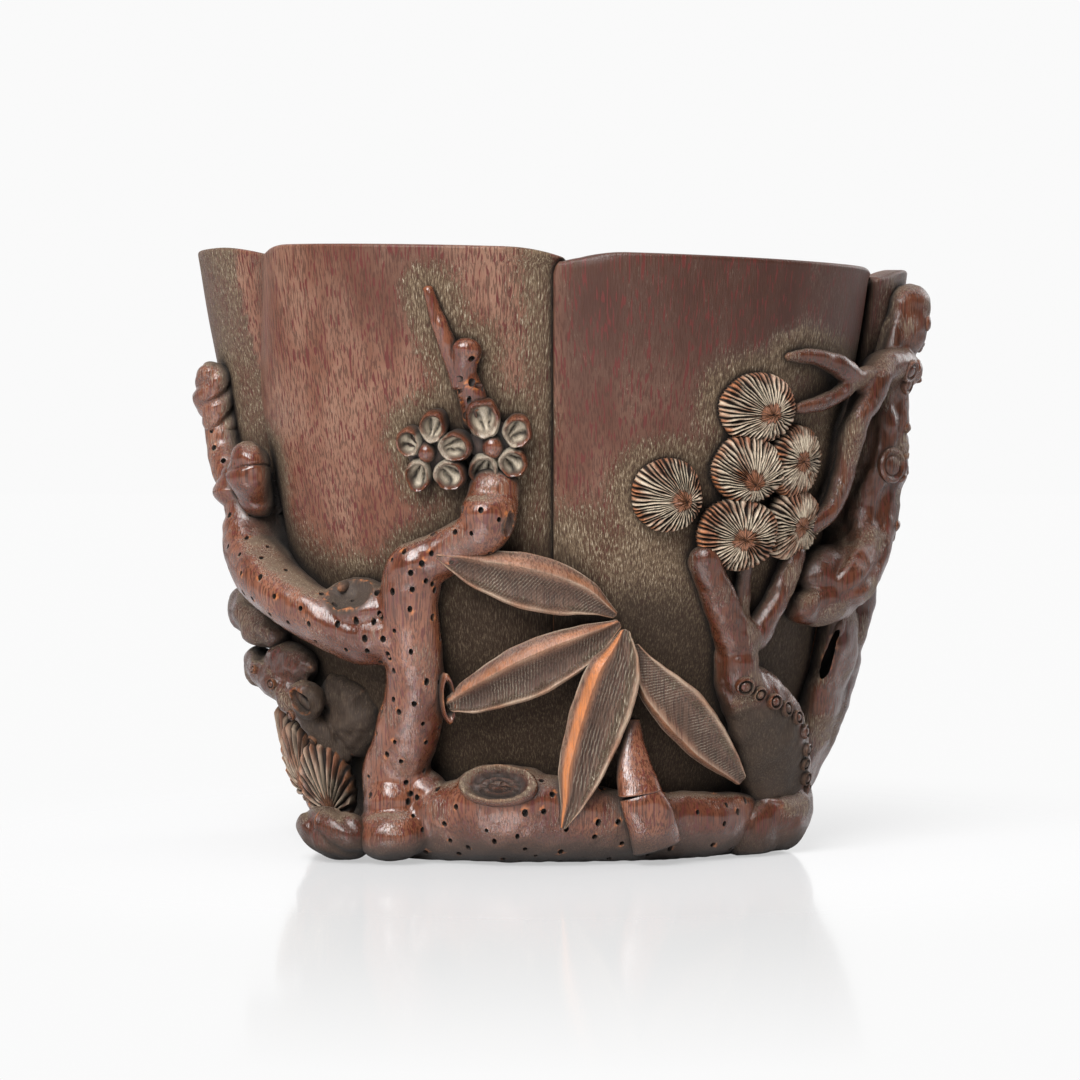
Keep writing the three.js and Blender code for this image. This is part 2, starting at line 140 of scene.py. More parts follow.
class Wall:
    """The vessel's petalled wall: points on it by bearing from the front, height and distance off it."""

    def __init__(self, sizes):
        self.rim_height = sizes.rim_height / MM
        self.rim_tilt = sizes.rim_tilt / MM
        self.plan_ratio = sizes.plan_ratio
        self.notch_depth = sizes.notch_depth / MM
        self.foot = sizes.petal_foot / MM
        self.full = sizes.petal_full / MM
        stations = (
            0.0,
            sizes.belly_height / MM,
            self.rim_height - sizes.lip_flare_height / MM,
            self.rim_height + self.rim_tilt,
        )
        widths = [
            size / MM
            for size in (
                sizes.foot_half_width,
                sizes.belly_half_width,
                sizes.neck_half_width,
                sizes.rim_half_width,
            )
        ]
        top = stations[-1]
        self.widths = [cubic(stations, widths, top * k / WALL_STEPS) for k in range(WALL_STEPS + 1)]
        self.steps_per_mm = WALL_STEPS / top
        self.petals = list(zip(NOTCHES, NOTCHES[1:] + (NOTCHES[0] + 360,)))

    def half_width(self, height):
        place = min(max(height * self.steps_per_mm, 0.0), WALL_STEPS - 0.001)
        k = int(place)
        return mix(self.widths[k], self.widths[k + 1], place - k)

    def petal(self, bearing):
        """The petal a bearing falls on, and where across it, from -1 at its proud edge to 1."""
        turned = NOTCHES[0] + (bearing - NOTCHES[0]) % 360
        index = bisect_right(NOTCHES, turned) - 1
        start, end = self.petals[index]
        return index, 2 * (turned - start) / (end - start) - 1

    def petal_share(self, height):
        return smooth(height, self.foot, self.full)

    def petal_inset(self, index, across, height):
        step = STEPS[index] if across < 0 else STEPS[(index + 1) % len(STEPS)]
        return self.petal_share(height) * (self.notch_depth * across**4 + step / 2 * across)

    def eased_inset(self, bearing, height):
        """The inset that carving follows: the petals' swell without their steps and creases."""
        index, across = self.petal(bearing)
        reach = abs(across)
        bend = max(reach - 0.7, 0.0)
        swell = min(reach, 0.7) ** 4 + 1.372 * bend - 2.287 * bend**2
        step = STEPS[index] if across < 0 else STEPS[(index + 1) % len(STEPS)]
        lean = step / 2 * across * (1 - smooth(reach, 0.4, 1.0))
        return self.petal_share(height) * (self.notch_depth * swell + lean)

    def flat_point(self, bearing, height, out):
        """A point on the plain oval wall, before the petals are cut into it."""
        turn = math.radians(bearing)
        wide = self.half_width(height)
        deep = wide * self.plan_ratio
        sin, cos = math.sin(turn), math.cos(turn)
        nx, ny = deep * sin, -wide * cos
        off = out / math.hypot(nx, ny)
        return Vector((wide * sin + nx * off, -deep * cos + ny * off, height))

    def point(self, bearing, height, out):
        index, across = self.petal(bearing)
        return self.flat_point(bearing, height, out - self.petal_inset(index, across, height))

    def eased_point(self, bearing, height, out):
        return self.flat_point(bearing, height, out - self.eased_inset(bearing, height))

    def per_degree(self, bearing, height):
        turn = math.radians(bearing)
        wide = self.half_width(height)
        return math.radians(math.hypot(wide * math.cos(turn), wide * self.plan_ratio * math.sin(turn)))

    def bearing(self, point):
        return math.degrees(math.atan2(point[0], -point[1] / self.plan_ratio))

    def off(self, point):
        """How far a point stands off the wall."""
        wide = self.half_width(point[2])
        deep = wide * self.plan_ratio
        reach = math.hypot(point[0] / wide, point[1] / deep)
        slope = math.hypot(point[0] / wide**2, point[1] / deep**2) / max(reach, 1e-6)
        index, across = self.petal(self.bearing(point))
        return (reach - 1) / max(slope, 1e-6) + self.petal_inset(index, across, point[2])

    def frame(self, bearing, level, out, tilt=(0.0, 0.0), spin=0.0):
        """A place on the wall: X along it, Y up it, Z out of it, tilted in degrees about X and Y."""
        height = level * self.rim_height / 100
        place = self.eased_point
        origin = place(bearing, height, out)
        along = (place(bearing + 1, height, out) - place(bearing - 1, height, out)).normalized()
        up = place(bearing, height + 1, out) - place(bearing, height - 1, out)
        outward = along.cross(up).normalized()
        up = outward.cross(along)
        axes = Matrix((along, up, outward)).transposed().to_4x4()
        about_x, about_y, about_z = (
            Matrix.Rotation(math.radians(angle), 4, axis) for angle, axis in zip((*tilt, spin), "XYZ")
        )
        turned = about_x @ about_y
        return Matrix.Translation(origin) @ axes @ turned @ about_z


class Route:
    """A smooth line over the wall through stops of bearing, level, share of the radius and ride."""

    def __init__(self, wall, stops):
        self.wall = wall
        scale = wall.rim_height / 100
        points = [np.array((s[0], s[1] * scale, s[2], s[3] if len(s) > 3 else 0.0)) for s in stops]
        points = [2 * points[0] - points[1], *points, 2 * points[-1] - points[-2]]
        self.samples = []
        for before, start, end, after in zip(points, points[1:], points[2:], points[3:]):
            gaps = [
                max(math.hypot(*(b - a)[:2]) ** 0.5, 1e-4)
                for a, b in ((before, start), (start, end), (end, after))
            ]
            leave = gaps[1] * (
                (start - before) / gaps[0]
                - (end - before) / (gaps[0] + gaps[1])
                + (end - start) / gaps[1]
            )
            arrive = gaps[1] * (
                (end - start) / gaps[1]
                - (after - start) / (gaps[1] + gaps[2])
                + (after - end) / gaps[2]
            )
            for k in range(ROUTE_STEPS):
                t = k / ROUTE_STEPS
                self.samples.append(
                    (2 * t**3 - 3 * t**2 + 1) * start
                    + (t**3 - 2 * t**2 + t) * leave
                    + (3 * t**2 - 2 * t**3) * end
                    + (t**3 - t**2) * arrive
                )
        self.samples.append(points[-2])
        self.reach = [0.0]
        for a, b in zip(self.samples, self.samples[1:]):
            width = (b[0] - a[0]) * wall.per_degree(a[0], a[1])
            self.reach.append(self.reach[-1] + math.hypot(width, b[1] - a[1]))
        self.length = self.reach[-1]

    def at(self, distance):
        """Bearing, height, share, ride, and the heading along the wall and up it."""
        k = min(max(bisect_right(self.reach, distance) - 1, 0), len(self.samples) - 2)
        a, b = self.samples[k], self.samples[k + 1]
        share = (distance - self.reach[k]) / max(self.reach[k + 1] - self.reach[k], 1e-9)
        bearing, height, thick, ride = mix(a, b, min(max(share, 0.0), 1.0))
        width = (b[0] - a[0]) * self.wall.per_degree(bearing, height)
        whole = math.hypot(width, b[1] - a[1])
        return bearing, height, thick, ride, width / whole, (b[1] - a[1]) / whole


class Limb:
    """A limb laid along the wall. section turns an angle into a place across and up it, carve gives
    millimetres to add to its radius at a distance along it and an angle round it, and marks gives how
    worn and how deeply cut its skin is there."""

    def __init__(
        self, wall, stops, radius, flat=1.0, section=None, carve=None, sunk=0.6, ends=(1.0, 1.0), marks=None
    ):
        self.wall, self.radius, self.flat = wall, radius, flat
        self.section, self.carve, self.sunk, self.marks = section, carve, sunk, marks
        self.route = Route(wall, stops)
        self.caps = [max(radius * stop[2] * end, 0.05) for stop, end in zip((stops[0], stops[-1]), ends)]

    def station(self, distance):
        held = min(max(distance, 0.0), self.route.length)
        past = distance - held
        cap = self.caps[0] if past < 0 else self.caps[1]
        reach = math.sqrt(max(1 - (past / cap) ** 2, 0.0))
        bearing, height, thick, ride, along, up = self.route.at(held)
        return bearing, height, self.radius * thick, ride, along, up, past, reach

    def place(self, distance, turn, station=None):
        """The point on the limb's skin at a distance along it and an angle round it."""
        bearing, height, half, ride, along, up, past, reach = station or self.station(distance)
        across, rise = math.cos(turn), math.sin(turn)
        if self.section:
            across, rise = self.section(turn, distance / self.route.length)
        grow = self.carve(distance, turn, half) if self.carve else 0.0
        across *= (half + grow) * reach
        stand = ride * ROOT_RADIUS + half * self.flat * SEAT_RISE
        out = max(stand + rise * (half * self.flat + grow) * reach, -self.sunk)
        side = along * past + up * across
        level = max(height + up * past - along * across, FLOOR_GAP)
        bearing += side / self.wall.per_degree(bearing, height)
        if rise < 0:
            index, share = self.wall.petal(bearing)
            gap = self.wall.petal_inset(index, share, level) - self.wall.eased_inset(bearing, level)
            out += min(rise * 2, 0.0) * max(gap, 0.0) * min(-rise, 0.5)
        return self.wall.eased_point(bearing, level, out)

    def mesh(self, sides=36, pitch=0.45):
        whole = self.route.length + sum(self.caps)
        rings = max(10, round(whole / pitch))
        bm = bmesh.new()
        bmesh.ops.create_uvsphere(bm, u_segments=sides, v_segments=rings, radius=1)
        stations = {}
        layers = [bm.verts.layers.float.new(key) for key in MARKS] if self.marks else []
        for vert in bm.verts:
            x, y, z = vert.co
            ring = round(math.acos(min(max(-z, -1.0), 1.0)) / math.pi * rings)
            distance = ring / rings * whole - self.caps[0]
            if ring not in stations:
                stations[ring] = self.station(distance)
            turn = math.atan2(y, x)
            vert.co = self.place(distance, turn, stations[ring])
            if layers:
                for layer, value in zip(layers, self.marks(distance, turn, stations[ring][2])):
                    vert[layer] = value
        return bm


def spun(profile, columns):
    """A profile of (reach, height) points turned about Z."""
    bm = bmesh.new()
    verts = [bm.verts.new((reach, 0, height)) for reach, height in profile]
    edges = [bm.edges.new(pair) for pair in zip(verts, verts[1:])]
    bmesh.ops.spin(
        bm, geom=verts + edges, cent=(0, 0, 0), axis=(0, 0, 1), dvec=(0, 0, 0),
        angle=math.tau, steps=columns, use_merge=True, use_duplicate=False,
    )
    return bm


def dish(place, radii, profile, columns=32, wave=None, hub=(0.0, 0.0), ragged=0.0):
    """A turned disc stretched to an oval at a place on the wall. Its profile runs from the middle of its
    face outwards and under, wave gives how far the face is lifted, how worn and how deeply cut it is by
    share of the radius and angle, hub shifts the middle and ragged is how uneven the edge is."""
    bm = spun(profile, columns)
    layers = [bm.verts.layers.float.new(key) for key in MARKS] if wave else []
    for vert in bm.verts:
        x, y, z = vert.co
        share = math.hypot(x, y)
        lift, *marks = wave(share, math.atan2(y, x), z) if wave else (0.0,)
        shift = max(1 - share, 0.0)
        if ragged and share > 0:
            edge = (2 * x / share, 2 * y / share, radii[0])
            spread = 1 + ragged * share * rough(edge, 1.3, radii[1] + hub[0])
            x, y = x * spread, y * spread
        vert.co = place @ Vector((x * radii[0] + hub[0] * shift, y * radii[1] + hub[1] * shift, z + lift))
        for layer, value in zip(layers, marks):
            vert[layer] = value
    bmesh.ops.remove_doubles(bm, verts=bm.verts, dist=1e-4)
    return bm


def lump(place, radii, uneven=0.0, grain=2.0, seed=0.0, columns=28):
    """A rounded lump with an uneven skin at a place on the wall."""
    bm = bmesh.new()
    bmesh.ops.create_uvsphere(bm, u_segments=columns, v_segments=columns // 2 + 2, radius=1)
    for vert in bm.verts:
        point = Vector(a * r for a, r in zip(vert.co, radii))
        vert.co = place @ (point + vert.co * (uneven * rough(point, grain, seed)))
    return bm


def joined(parts):
    """Several bmeshes put together in a new one."""
    whole = bmesh.new()
    for part in parts:
        mesh = bpy.data.meshes.new("part")
        part.to_mesh(mesh)
        part.free()
        whole.from_mesh(mesh)
        bpy.data.meshes.remove(mesh)
    return whole


def modified(bm, *modifiers):
    """The bmesh after modifiers, each given as its kind and settings."""
    mesh = bpy.data.meshes.new("work")
    bm.to_mesh(mesh)
    bm.free()
    work = bpy.data.objects.new("work", mesh)
    bpy.context.collection.objects.link(work)
    for kind, settings in modifiers:
        modifier = work.modifiers.new(kind.title(), kind)
        for key, value in settings.items():
            setattr(modifier, key, value)
    bpy.context.view_layer.update()
    done = bmesh.new()
    done.from_object(work, bpy.context.evaluated_depsgraph_get())
    bpy.data.objects.remove(work)
    bpy.data.meshes.remove(mesh)
    return done


def grown_together(parts, voxel, passes):
    """Limbs carved from one block: one skin with no seams between them."""
    return modified(
        joined(parts),
        ("REMESH", {"mode": "VOXEL", "voxel_size": voxel}),
        ("SMOOTH", {"factor": 0.5, "iterations": passes}),
    )


def cut(bm, cutters):
    """The bmesh with the cutters' shapes taken out of it."""
    cutter = joined(cutters)
    mesh = bpy.data.meshes.new("cutter")
    cutter.to_mesh(mesh)
    cutter.free()
    tool = bpy.data.objects.new("cutter", mesh)
    bpy.context.collection.objects.link(tool)
    done = modified(bm, ("BOOLEAN", {"operation": "DIFFERENCE", "solver": "MANIFOLD", "object": tool}))
    bpy.data.objects.remove(tool)
    bpy.data.meshes.remove(mesh)
    return done


def worm_holes(bm, limbs, spacing, seed):
    """Round pits drilled in staggered rows along limbs, as plum bark is carved."""
    chance = random.Random(seed)
    skin = BVHTree.FromBMesh(bm)
    cutters = []
    for limb in limbs:
        distance = spacing * 0.5
        row = 0
        while distance < limb.route.length:
            half = limb.station(distance)[2]
            count = max(2, round(math.pi * half / spacing))
            for k in range(count):
                if chance.random() < 0.12:
                    continue
                turn = (k + 0.25 + 0.5 * (row % 2) + chance.uniform(-0.28, 0.28)) * math.pi / count
                point = limb.place(distance + chance.uniform(-0.3, 0.3) * spacing, turn)
                spot, normal, _, _ = skin.find_nearest(point)
                width = chance.uniform(0.36, 0.56)
                hole = bmesh.new()
                bmesh.ops.create_cone(
                    hole, cap_ends=True, segments=12, radius1=0.5 * width, radius2=width, depth=1.6
                )
                bmesh.ops.scale(hole, vec=Vector((1.0, chance.uniform(1.0, 1.5), 1.0)), verts=hole.verts)
                turned = normal.to_track_quat("Z", "Y").to_matrix().to_4x4()
                bmesh.ops.transform(
                    hole, matrix=Matrix.Translation(spot - normal * 0.1) @ turned, verts=hole.verts
                )
                cutters.append(hole)
            distance += spacing
            row += 1
    return cut(bm, cutters)


def vessel_mesh(wall, sizes):
    """The petalled cup: a profile turned round, whose columns are drawn out to the petals with their
    proud edges folded over the tucked edges beside them."""
    lip_wall, lower_wall = sizes.lip_wall / MM, sizes.lower_wall / MM
    floor, floor_round = sizes.floor_height / MM, sizes.floor_round / MM
    # Each row: side, share of the height, distance off the wall, lift, and scale towards the middle
    rows = [("under", 0.0, 0.0, 0.0, 0.0), ("under", 0.0, 0.0, 0.0, 0.6), ("under", 0.0, -0.8, 0.0, 1.0)]
    rows += [("out", 0.0, -0.25, 0.2, 1.0), ("out", 0.0, 0.0, 0.8, 1.0)]
    rows += [("out", 0.02 + 0.97 * k / 96, 0.0, 0.0, 1.0) for k in range(97)]
    for k in range(5):
        turn = math.pi / 2 * k / 4
        rows.append(("out", 1.0, -0.5 * (1 - math.cos(turn)), -0.5 * (1 - math.sin(turn)), 1.0))
    for k in range(5):
        turn = math.pi / 2 * k / 4
        rows.append(("in", 1.0, 0.9 - 0.9 * math.sin(turn), -0.9 * (1 - math.cos(turn)), 1.0))
    low = (floor + floor_round) / wall.rim_height
    rows += [("in", mix(0.98, low, k / 40), 0.0, 0.0, 1.0) for k in range(41)]
    for k in range(1, 7):
        turn = math.pi / 2 * k / 6
        depth = floor_round * (1 - math.cos(turn))
        rows.append(("in", low, -depth, -floor_round * math.sin(turn), 1.0))
    rows += [("in", low, -floor_round, -floor_round, scale) for scale in (0.8, 0.55, 0.3, 0.0)]
    # Each column: petal, share across it, and for a folded edge its place along the wall and its depth
    columns = []
    for index in range(len(NOTCHES)):
        columns += [(index, 0.0, along, depth) for along, depth in EDGE_FOLD]
        for k in range(PETAL_COLUMNS + 1):
            columns.append((index, (1 - math.cos(math.pi * k / PETAL_COLUMNS)) / 2, None, 0.0))
    rims = []
    for index, across, _, _ in columns:
        start, end = wall.petals[index]
        bearing = mix(start, end, across)
        width = (end - start) * wall.per_degree(bearing, wall.rim_height)
        drop = CORNER_FALL * max(0.0, 1 - across * width / CORNER_RUN) ** 2
        drop += TUCK_FALL * max(0.0, 1 - (1 - across) * width / TUCK_RUN) ** 2
        drop += PETAL_DROPS[index]
        rims.append(wall.rim_height - wall.rim_tilt * math.sin(math.radians(bearing)) - drop)

    def seam(index, height):
        turns, index = divmod(index, len(NOTCHES))
        bearing = wall.petals[index][0] + 360 * turns
        corner = CORNERS[index]
        tall = wall.rim_height - wall.rim_tilt * math.sin(math.radians(bearing)) - CORNER_FALL
        share = min(max((height - tall + corner) / corner, 0.0), 0.96)
        lean = LEANS[index] * smooth(height, 0.7 * wall.rim_height, wall.rim_height)
        return bearing + lean + corner * (1 - math.sqrt(1 - share * share)) / wall.per_degree(bearing, height)

    def outside(column, height, out):
        index, across, along, depth = columns[column]
        fade = wall.petal_share(height)
        left = seam(index, height)
        per_degree = wall.per_degree(left, height)
        if along is not None:
            inset = wall.petal_inset(index, -1, height) + depth * FOLD_SHARE * STEPS[index] * fade
            return wall.flat_point(left + along * fade / per_degree, height, out - inset)
        right = seam(index + 1, height)
        start = left + EDGE_FACE * fade / per_degree
        end = right + TUCK * fade / wall.per_degree(right, height)
        return wall.flat_point(
            mix(start, end, across), height, out - wall.petal_inset(index, 2 * across - 1, height)
        )

    def inside(column, height, out):
        index, across, along, _ = columns[column]
        bearing = mix(seam(index, height), seam(index + 1, height), across)
        bearing += 0 if along is None else (along - 1.2) * 0.1
        inset = wall.petal_share(height) * wall.notch_depth * (2 * across - 1) ** 4 * 0.85
        return wall.flat_point(bearing, height, out - inset)

    bm = spun([(1.0, row) for row in range(len(rows))], len(columns))
    for vert in bm.verts:
        column = round(math.atan2(vert.co.y, vert.co.x) / math.tau * len(columns)) % len(columns)
        side, share, out, lift, scale = rows[round(vert.co.z)]
        blend = smooth(share, 0.3, 1.0)
        height = share * mix(wall.rim_height, rims[column], blend) + lift
        if side == "in":
            point = inside(column, height, out - mix(lower_wall, lip_wall, min(share, 1.0)))
        else:
            point = outside(column, height, out)
        vert.co = (point.x * scale, point.y * scale, point.z)
    return bm


class Blade:
    """Section of a bamboo leaf: a midrib at ridge across it, a hollowed broad face with a raised rim, and a
    narrow face on the other side of the midrib. Its fine lines run along it or across it, and bare is how
    far its edges are rubbed to bare wood."""

    def __init__(self, ridge, hollow, lengthwise, bare):
        self.ridge, self.hollow, self.lengthwise, self.bare = ridge, hollow, lengthwise, bare

    def span(self, across):
        """How far out on its face a place is, from midrib to edge, and if that face is the broad one."""
        if across > self.ridge:
            return (across - self.ridge) / (1 - self.ridge), self.ridge < 0
        return (self.ridge - across) / (1 + self.ridge), self.ridge > 0

    def section(self, turn, along):
        across = math.cos(turn)
        if math.sin(turn) < 0:
            return 0.75 * across, -1.2
        span, broad = self.span(across)
        if not broad:
            return across, 1 - 0.7 * span**1.2
        rim = 0.3 * math.exp(-(((span - 0.93) / 0.1) ** 2))
        return across, 1 - 0.55 * span - self.hollow * math.sin(math.pi * min(span / 0.93, 1.0)) + rim

    def carve(self, distance, turn, half):
        return 0.1 * rough((distance, 2 * half * math.cos(turn), 0), 2.2, self.ridge)

    def marks(self, distance, turn, half):
        across = math.cos(turn)
        # Painted shade on the leaf's underside towards the wall, laid through the cut mark
        if math.sin(turn) < 0:
            return 0.0, 0.7, 0.0, 0.0, 0.0, 0.0, 0.0
        span, broad = self.span(across)
        uneven = rough((distance, 2 * across, 0), 2.0, self.ridge)
        patchy = 0.62 + 0.3 * self.bare + (0.7 - 0.5 * self.bare) * uneven
        worn = 0.8 * self.bare * math.exp(-((span / 0.08) ** 2))
        # Pale along the midrib and the rims: pale dust, and a painted highlight on these polished edges
        pale = 0.55 * math.exp(-((span / 0.07) ** 2)) * (1 - self.bare)
        if not broad:
            worn = max(worn, self.bare * (1 - smooth(span, 0.35, 0.75)))
            pale = max(pale, 0.4 * smooth(span, 0.85, 0.97))
        else:
            # The broad face's raised rim: worn, and pale with a painted highlight
            rim = math.exp(-(((span - 0.94) / 0.06) ** 2))
            worn, pale = max(worn, 0.35 * rim), max(pale, 0.5 * rim)
        floor = smooth(span, 0.06, 0.25) * (1 - smooth(span, 0.82, 0.95)) if broad else 0.0
        # The hollow's floor is darker, most towards the midrib
        floor_darkening = 0.6 * floor * (1 - 0.6 * smooth(span, 0.5, 0.9))
        dust = 0.75 * math.exp(-(((span - 0.78) / 0.12) ** 2)) if broad else 0.35 * smooth(span, 0.4, 0.8)
        phase = half * across + 0.04 * distance if self.lengthwise else distance + 0.55 * half * across
        broken = smooth(rough((0.5 * distance, 2 * across, 7.0), 2.0, self.ridge), -0.3, 0.25)
        pale = max(pale * (0.3 + patchy * broken), 0.0)
        worn, dust = max(worn * patchy, 0.0), max(dust * patchy, 0.0)
        return worn, floor_darkening, dust, 0.0, pale, floor * (0.25 + 0.75 * broken), phase


def rounded_flat(turn, along):
    """Section of a culm: broad, with a gently rounded top."""
    across, rise = math.cos(turn), math.sin(turn)
    return math.copysign(abs(across) ** 0.85, across), math.copysign(abs(rise) ** 0.85, rise)


def needle_fan(count, depth, seed, dusty):
    """Radial needles of a pine pad: grooves from its hub out over its rim, pale on their backs with dust and
    a painted highlight, and worn where the rim is handled, most on its left side, which also paints a
    highlight."""

    def wave(share, turn, height):
        # Painted shade on the pad's underside and lower edge, laid through the cut mark
        if height < 0.1:
            return 0.0, 0.0, 0.8
        x, y = 4 * math.cos(turn), 4 * math.sin(turn)
        bend = turn + 0.07 * rough((x, y, 2.5 * share), 0.7, seed) + 0.06 * math.sin(3 * turn + seed) * share
        groove = (0.5 + 0.5 * math.cos(count * bend)) ** 1.2
        middle = 0.29 + 0.09 * rough((x, y, 0.0), 1.3, seed + 1)
        hub = smooth(share, middle - 0.05, middle + 0.05)
        back = (1 - groove) ** 1.4 * hub
        chip = rough((2.2 * x, 2.2 * y, 5 * share), 1.0, seed + 3)
        patch = rough((x * share, y * share, 0.0), 2.0, seed + 5)
        # Pale on the needles' backs: dust, and a painted highlight on the ridges
        pale = smooth(0.9 * patch + 0.5 * chip + 0.9 * (0.8 - share), -0.35, 0.4)
        # The rim wears most on its left side, where the wear also stands for a painted highlight from the key
        # light
        side = 0.25 + 0.75 * max(-math.cos(turn - 0.3), 0.0)
        worn = 0.6 * smooth(share, 0.8, 0.95) * side * back
        lift = -depth * groove * hub * (1 + 0.3 * share) - (0.15 - 0.2 * chip) * (1 - hub) + 0.1 * chip * back
        dark = 0.98 * smooth(groove, 0.35, 0.85) * hub
        return lift, worn, dark, 0.0, 0.3 * (1 - hub), dusty * smooth(back, 0.25, 0.75) * pale

    return wave


def pad_mesh(place, radii, hub, count=44, tall=3.0, edge=1.9, depth=0.55, seed=0.0, dusty=0.95):
    """A pine's needle pad: a domed disc with needles all round its hub."""
    profile = [(k / 20, tall - (tall - edge) * (k / 20) ** 2.4) for k in range(20)]
    profile += [(0.975, edge - 0.12), (0.995, edge - 0.4), (1.0, edge - 0.8), (0.985, edge - 1.2)]
    profile += [(0.92, edge - 1.7), (0.8, -0.9), (0, -0.9)]
    return dish(place, radii, profile, count * 6, needle_fan(count, depth, seed, dusty), hub, 0.07)


def blossom_mesh(wall, bearing, level, lift, heart, petals):
    """A plum blossom: cupped petals with raised rims, dusty and grooved inside, round a domed heart. Each
    petal is given by its middle, half width and half height."""
    place = wall.frame(bearing, level, lift, (6, 0))
    profile = [(0, 1.0), (0.15, 1.0), (0.3, 1.05), (0.42, 1.15), (0.54, 1.4), (0.65, 2.0), (0.75, 2.5)]
    profile += [(0.85, 2.65), (0.95, 2.3), (1.0, 1.6), (0.97, 0.8), (0.85, -0.9), (0, -0.9)]
    parts = []
    for x, y, wide, high in petals:
        outward = math.atan2(y, x)

        def stamens(share, angle, height):
            # Painted shade on the petal's underside, laid through the cut mark
            if height < 0.5:
                return 0.0, 0.0, 0.6
            along, across = share * math.cos(angle - outward), share * math.sin(angle - outward)
            fan = math.atan2(across, along + 1.0)
            uneven = rough((3 * along, 3 * across, x + y), 1.0, high)
            slit = (0.5 + 0.5 * math.cos(10.5 * fan + 1.5 * wide + uneven)) ** 1.8
            floor = 1 - smooth(share, 0.52, 0.7)
            inner = smooth(-along + 0.4 * uneven, 0.1, 0.8) * (1 - floor)
            ring = 0.55 * math.exp(-(((share - 0.58) / 0.07) ** 2)) * smooth(along, -0.3, 0.4)
            dark = max(slit * floor, ring)
            lift = -0.5 * slit * floor + 0.25 * uneven * (1 - floor)
            pale = max((1 - slit) ** 0.7 * floor, 0.55 * inner)
            return lift, 0.0, 0.95 * dark, 0.6 * inner, 0.35 * (1 - floor), pale

        petal = place @ Matrix.Translation((x, y, 0))
        parts.append(dish(petal, (wide, high), profile, 56, stamens, ragged=0.13))
    dome = [(0, 2.9), (0.3, 2.85), (0.6, 2.65), (0.85, 2.25), (1.0, 1.7), (0.95, 0.6), (0, 0.6)]
    parts.append(dish(place, (heart, heart * 1.15), dome, 24))
    base = [(0, 1.0), (0.6, 1.0), (0.9, 0.7), (1.0, 0.0), (0.9, -1.0), (0, -1.0)]
    parts.append(dish(place, (3.4, 3.4), base, 30))
    return joined(parts)


def scale_ring(place, size, tall=0.55):
    """A ringed bark scale: a low boss with a groove round its button."""
    profile = [(0, 1.0), (0.3, 0.95), (0.5, 0.75), (0.58, 0.35), (0.66, 0.4), (0.8, 0.9), (0.92, 0.8)]
    profile += [(1.0, 0.3), (0.95, -1.0), (0, -1.0)]
    return dish(place, (size, size), [(share, height * tall) for share, height in profile], 24)


def hex_colour(value):
    """Linear RGB from an sRGB hex colour."""
    parts = [int(value[k : k + 2], 16) / 255 for k in (1, 3, 5)]
    return [c / 12.92 if c <= 0.04045 else ((c + 0.055) / 1.055) ** 2.4 for c in parts]


def add_node(tree, kind, settings=None, **inputs):
    """A node with its settings, each input given a value or linked from another node's output. An input
    goes by its name, with _ for a space, or by i and its number."""
    made = tree.nodes.new(kind)
    for key, value in (settings or {}).items():
        setattr(made, key, value)
    for key, value in inputs.items():
        numbered = key[0] == "i" and key[1:].isdigit()
        socket = made.inputs[int(key[1:]) if numbered else key.replace("_", " ")]
        if isinstance(value, bpy.types.NodeSocket):
            tree.links.new(value, socket)
        else:
            socket.default_value = value
    return made


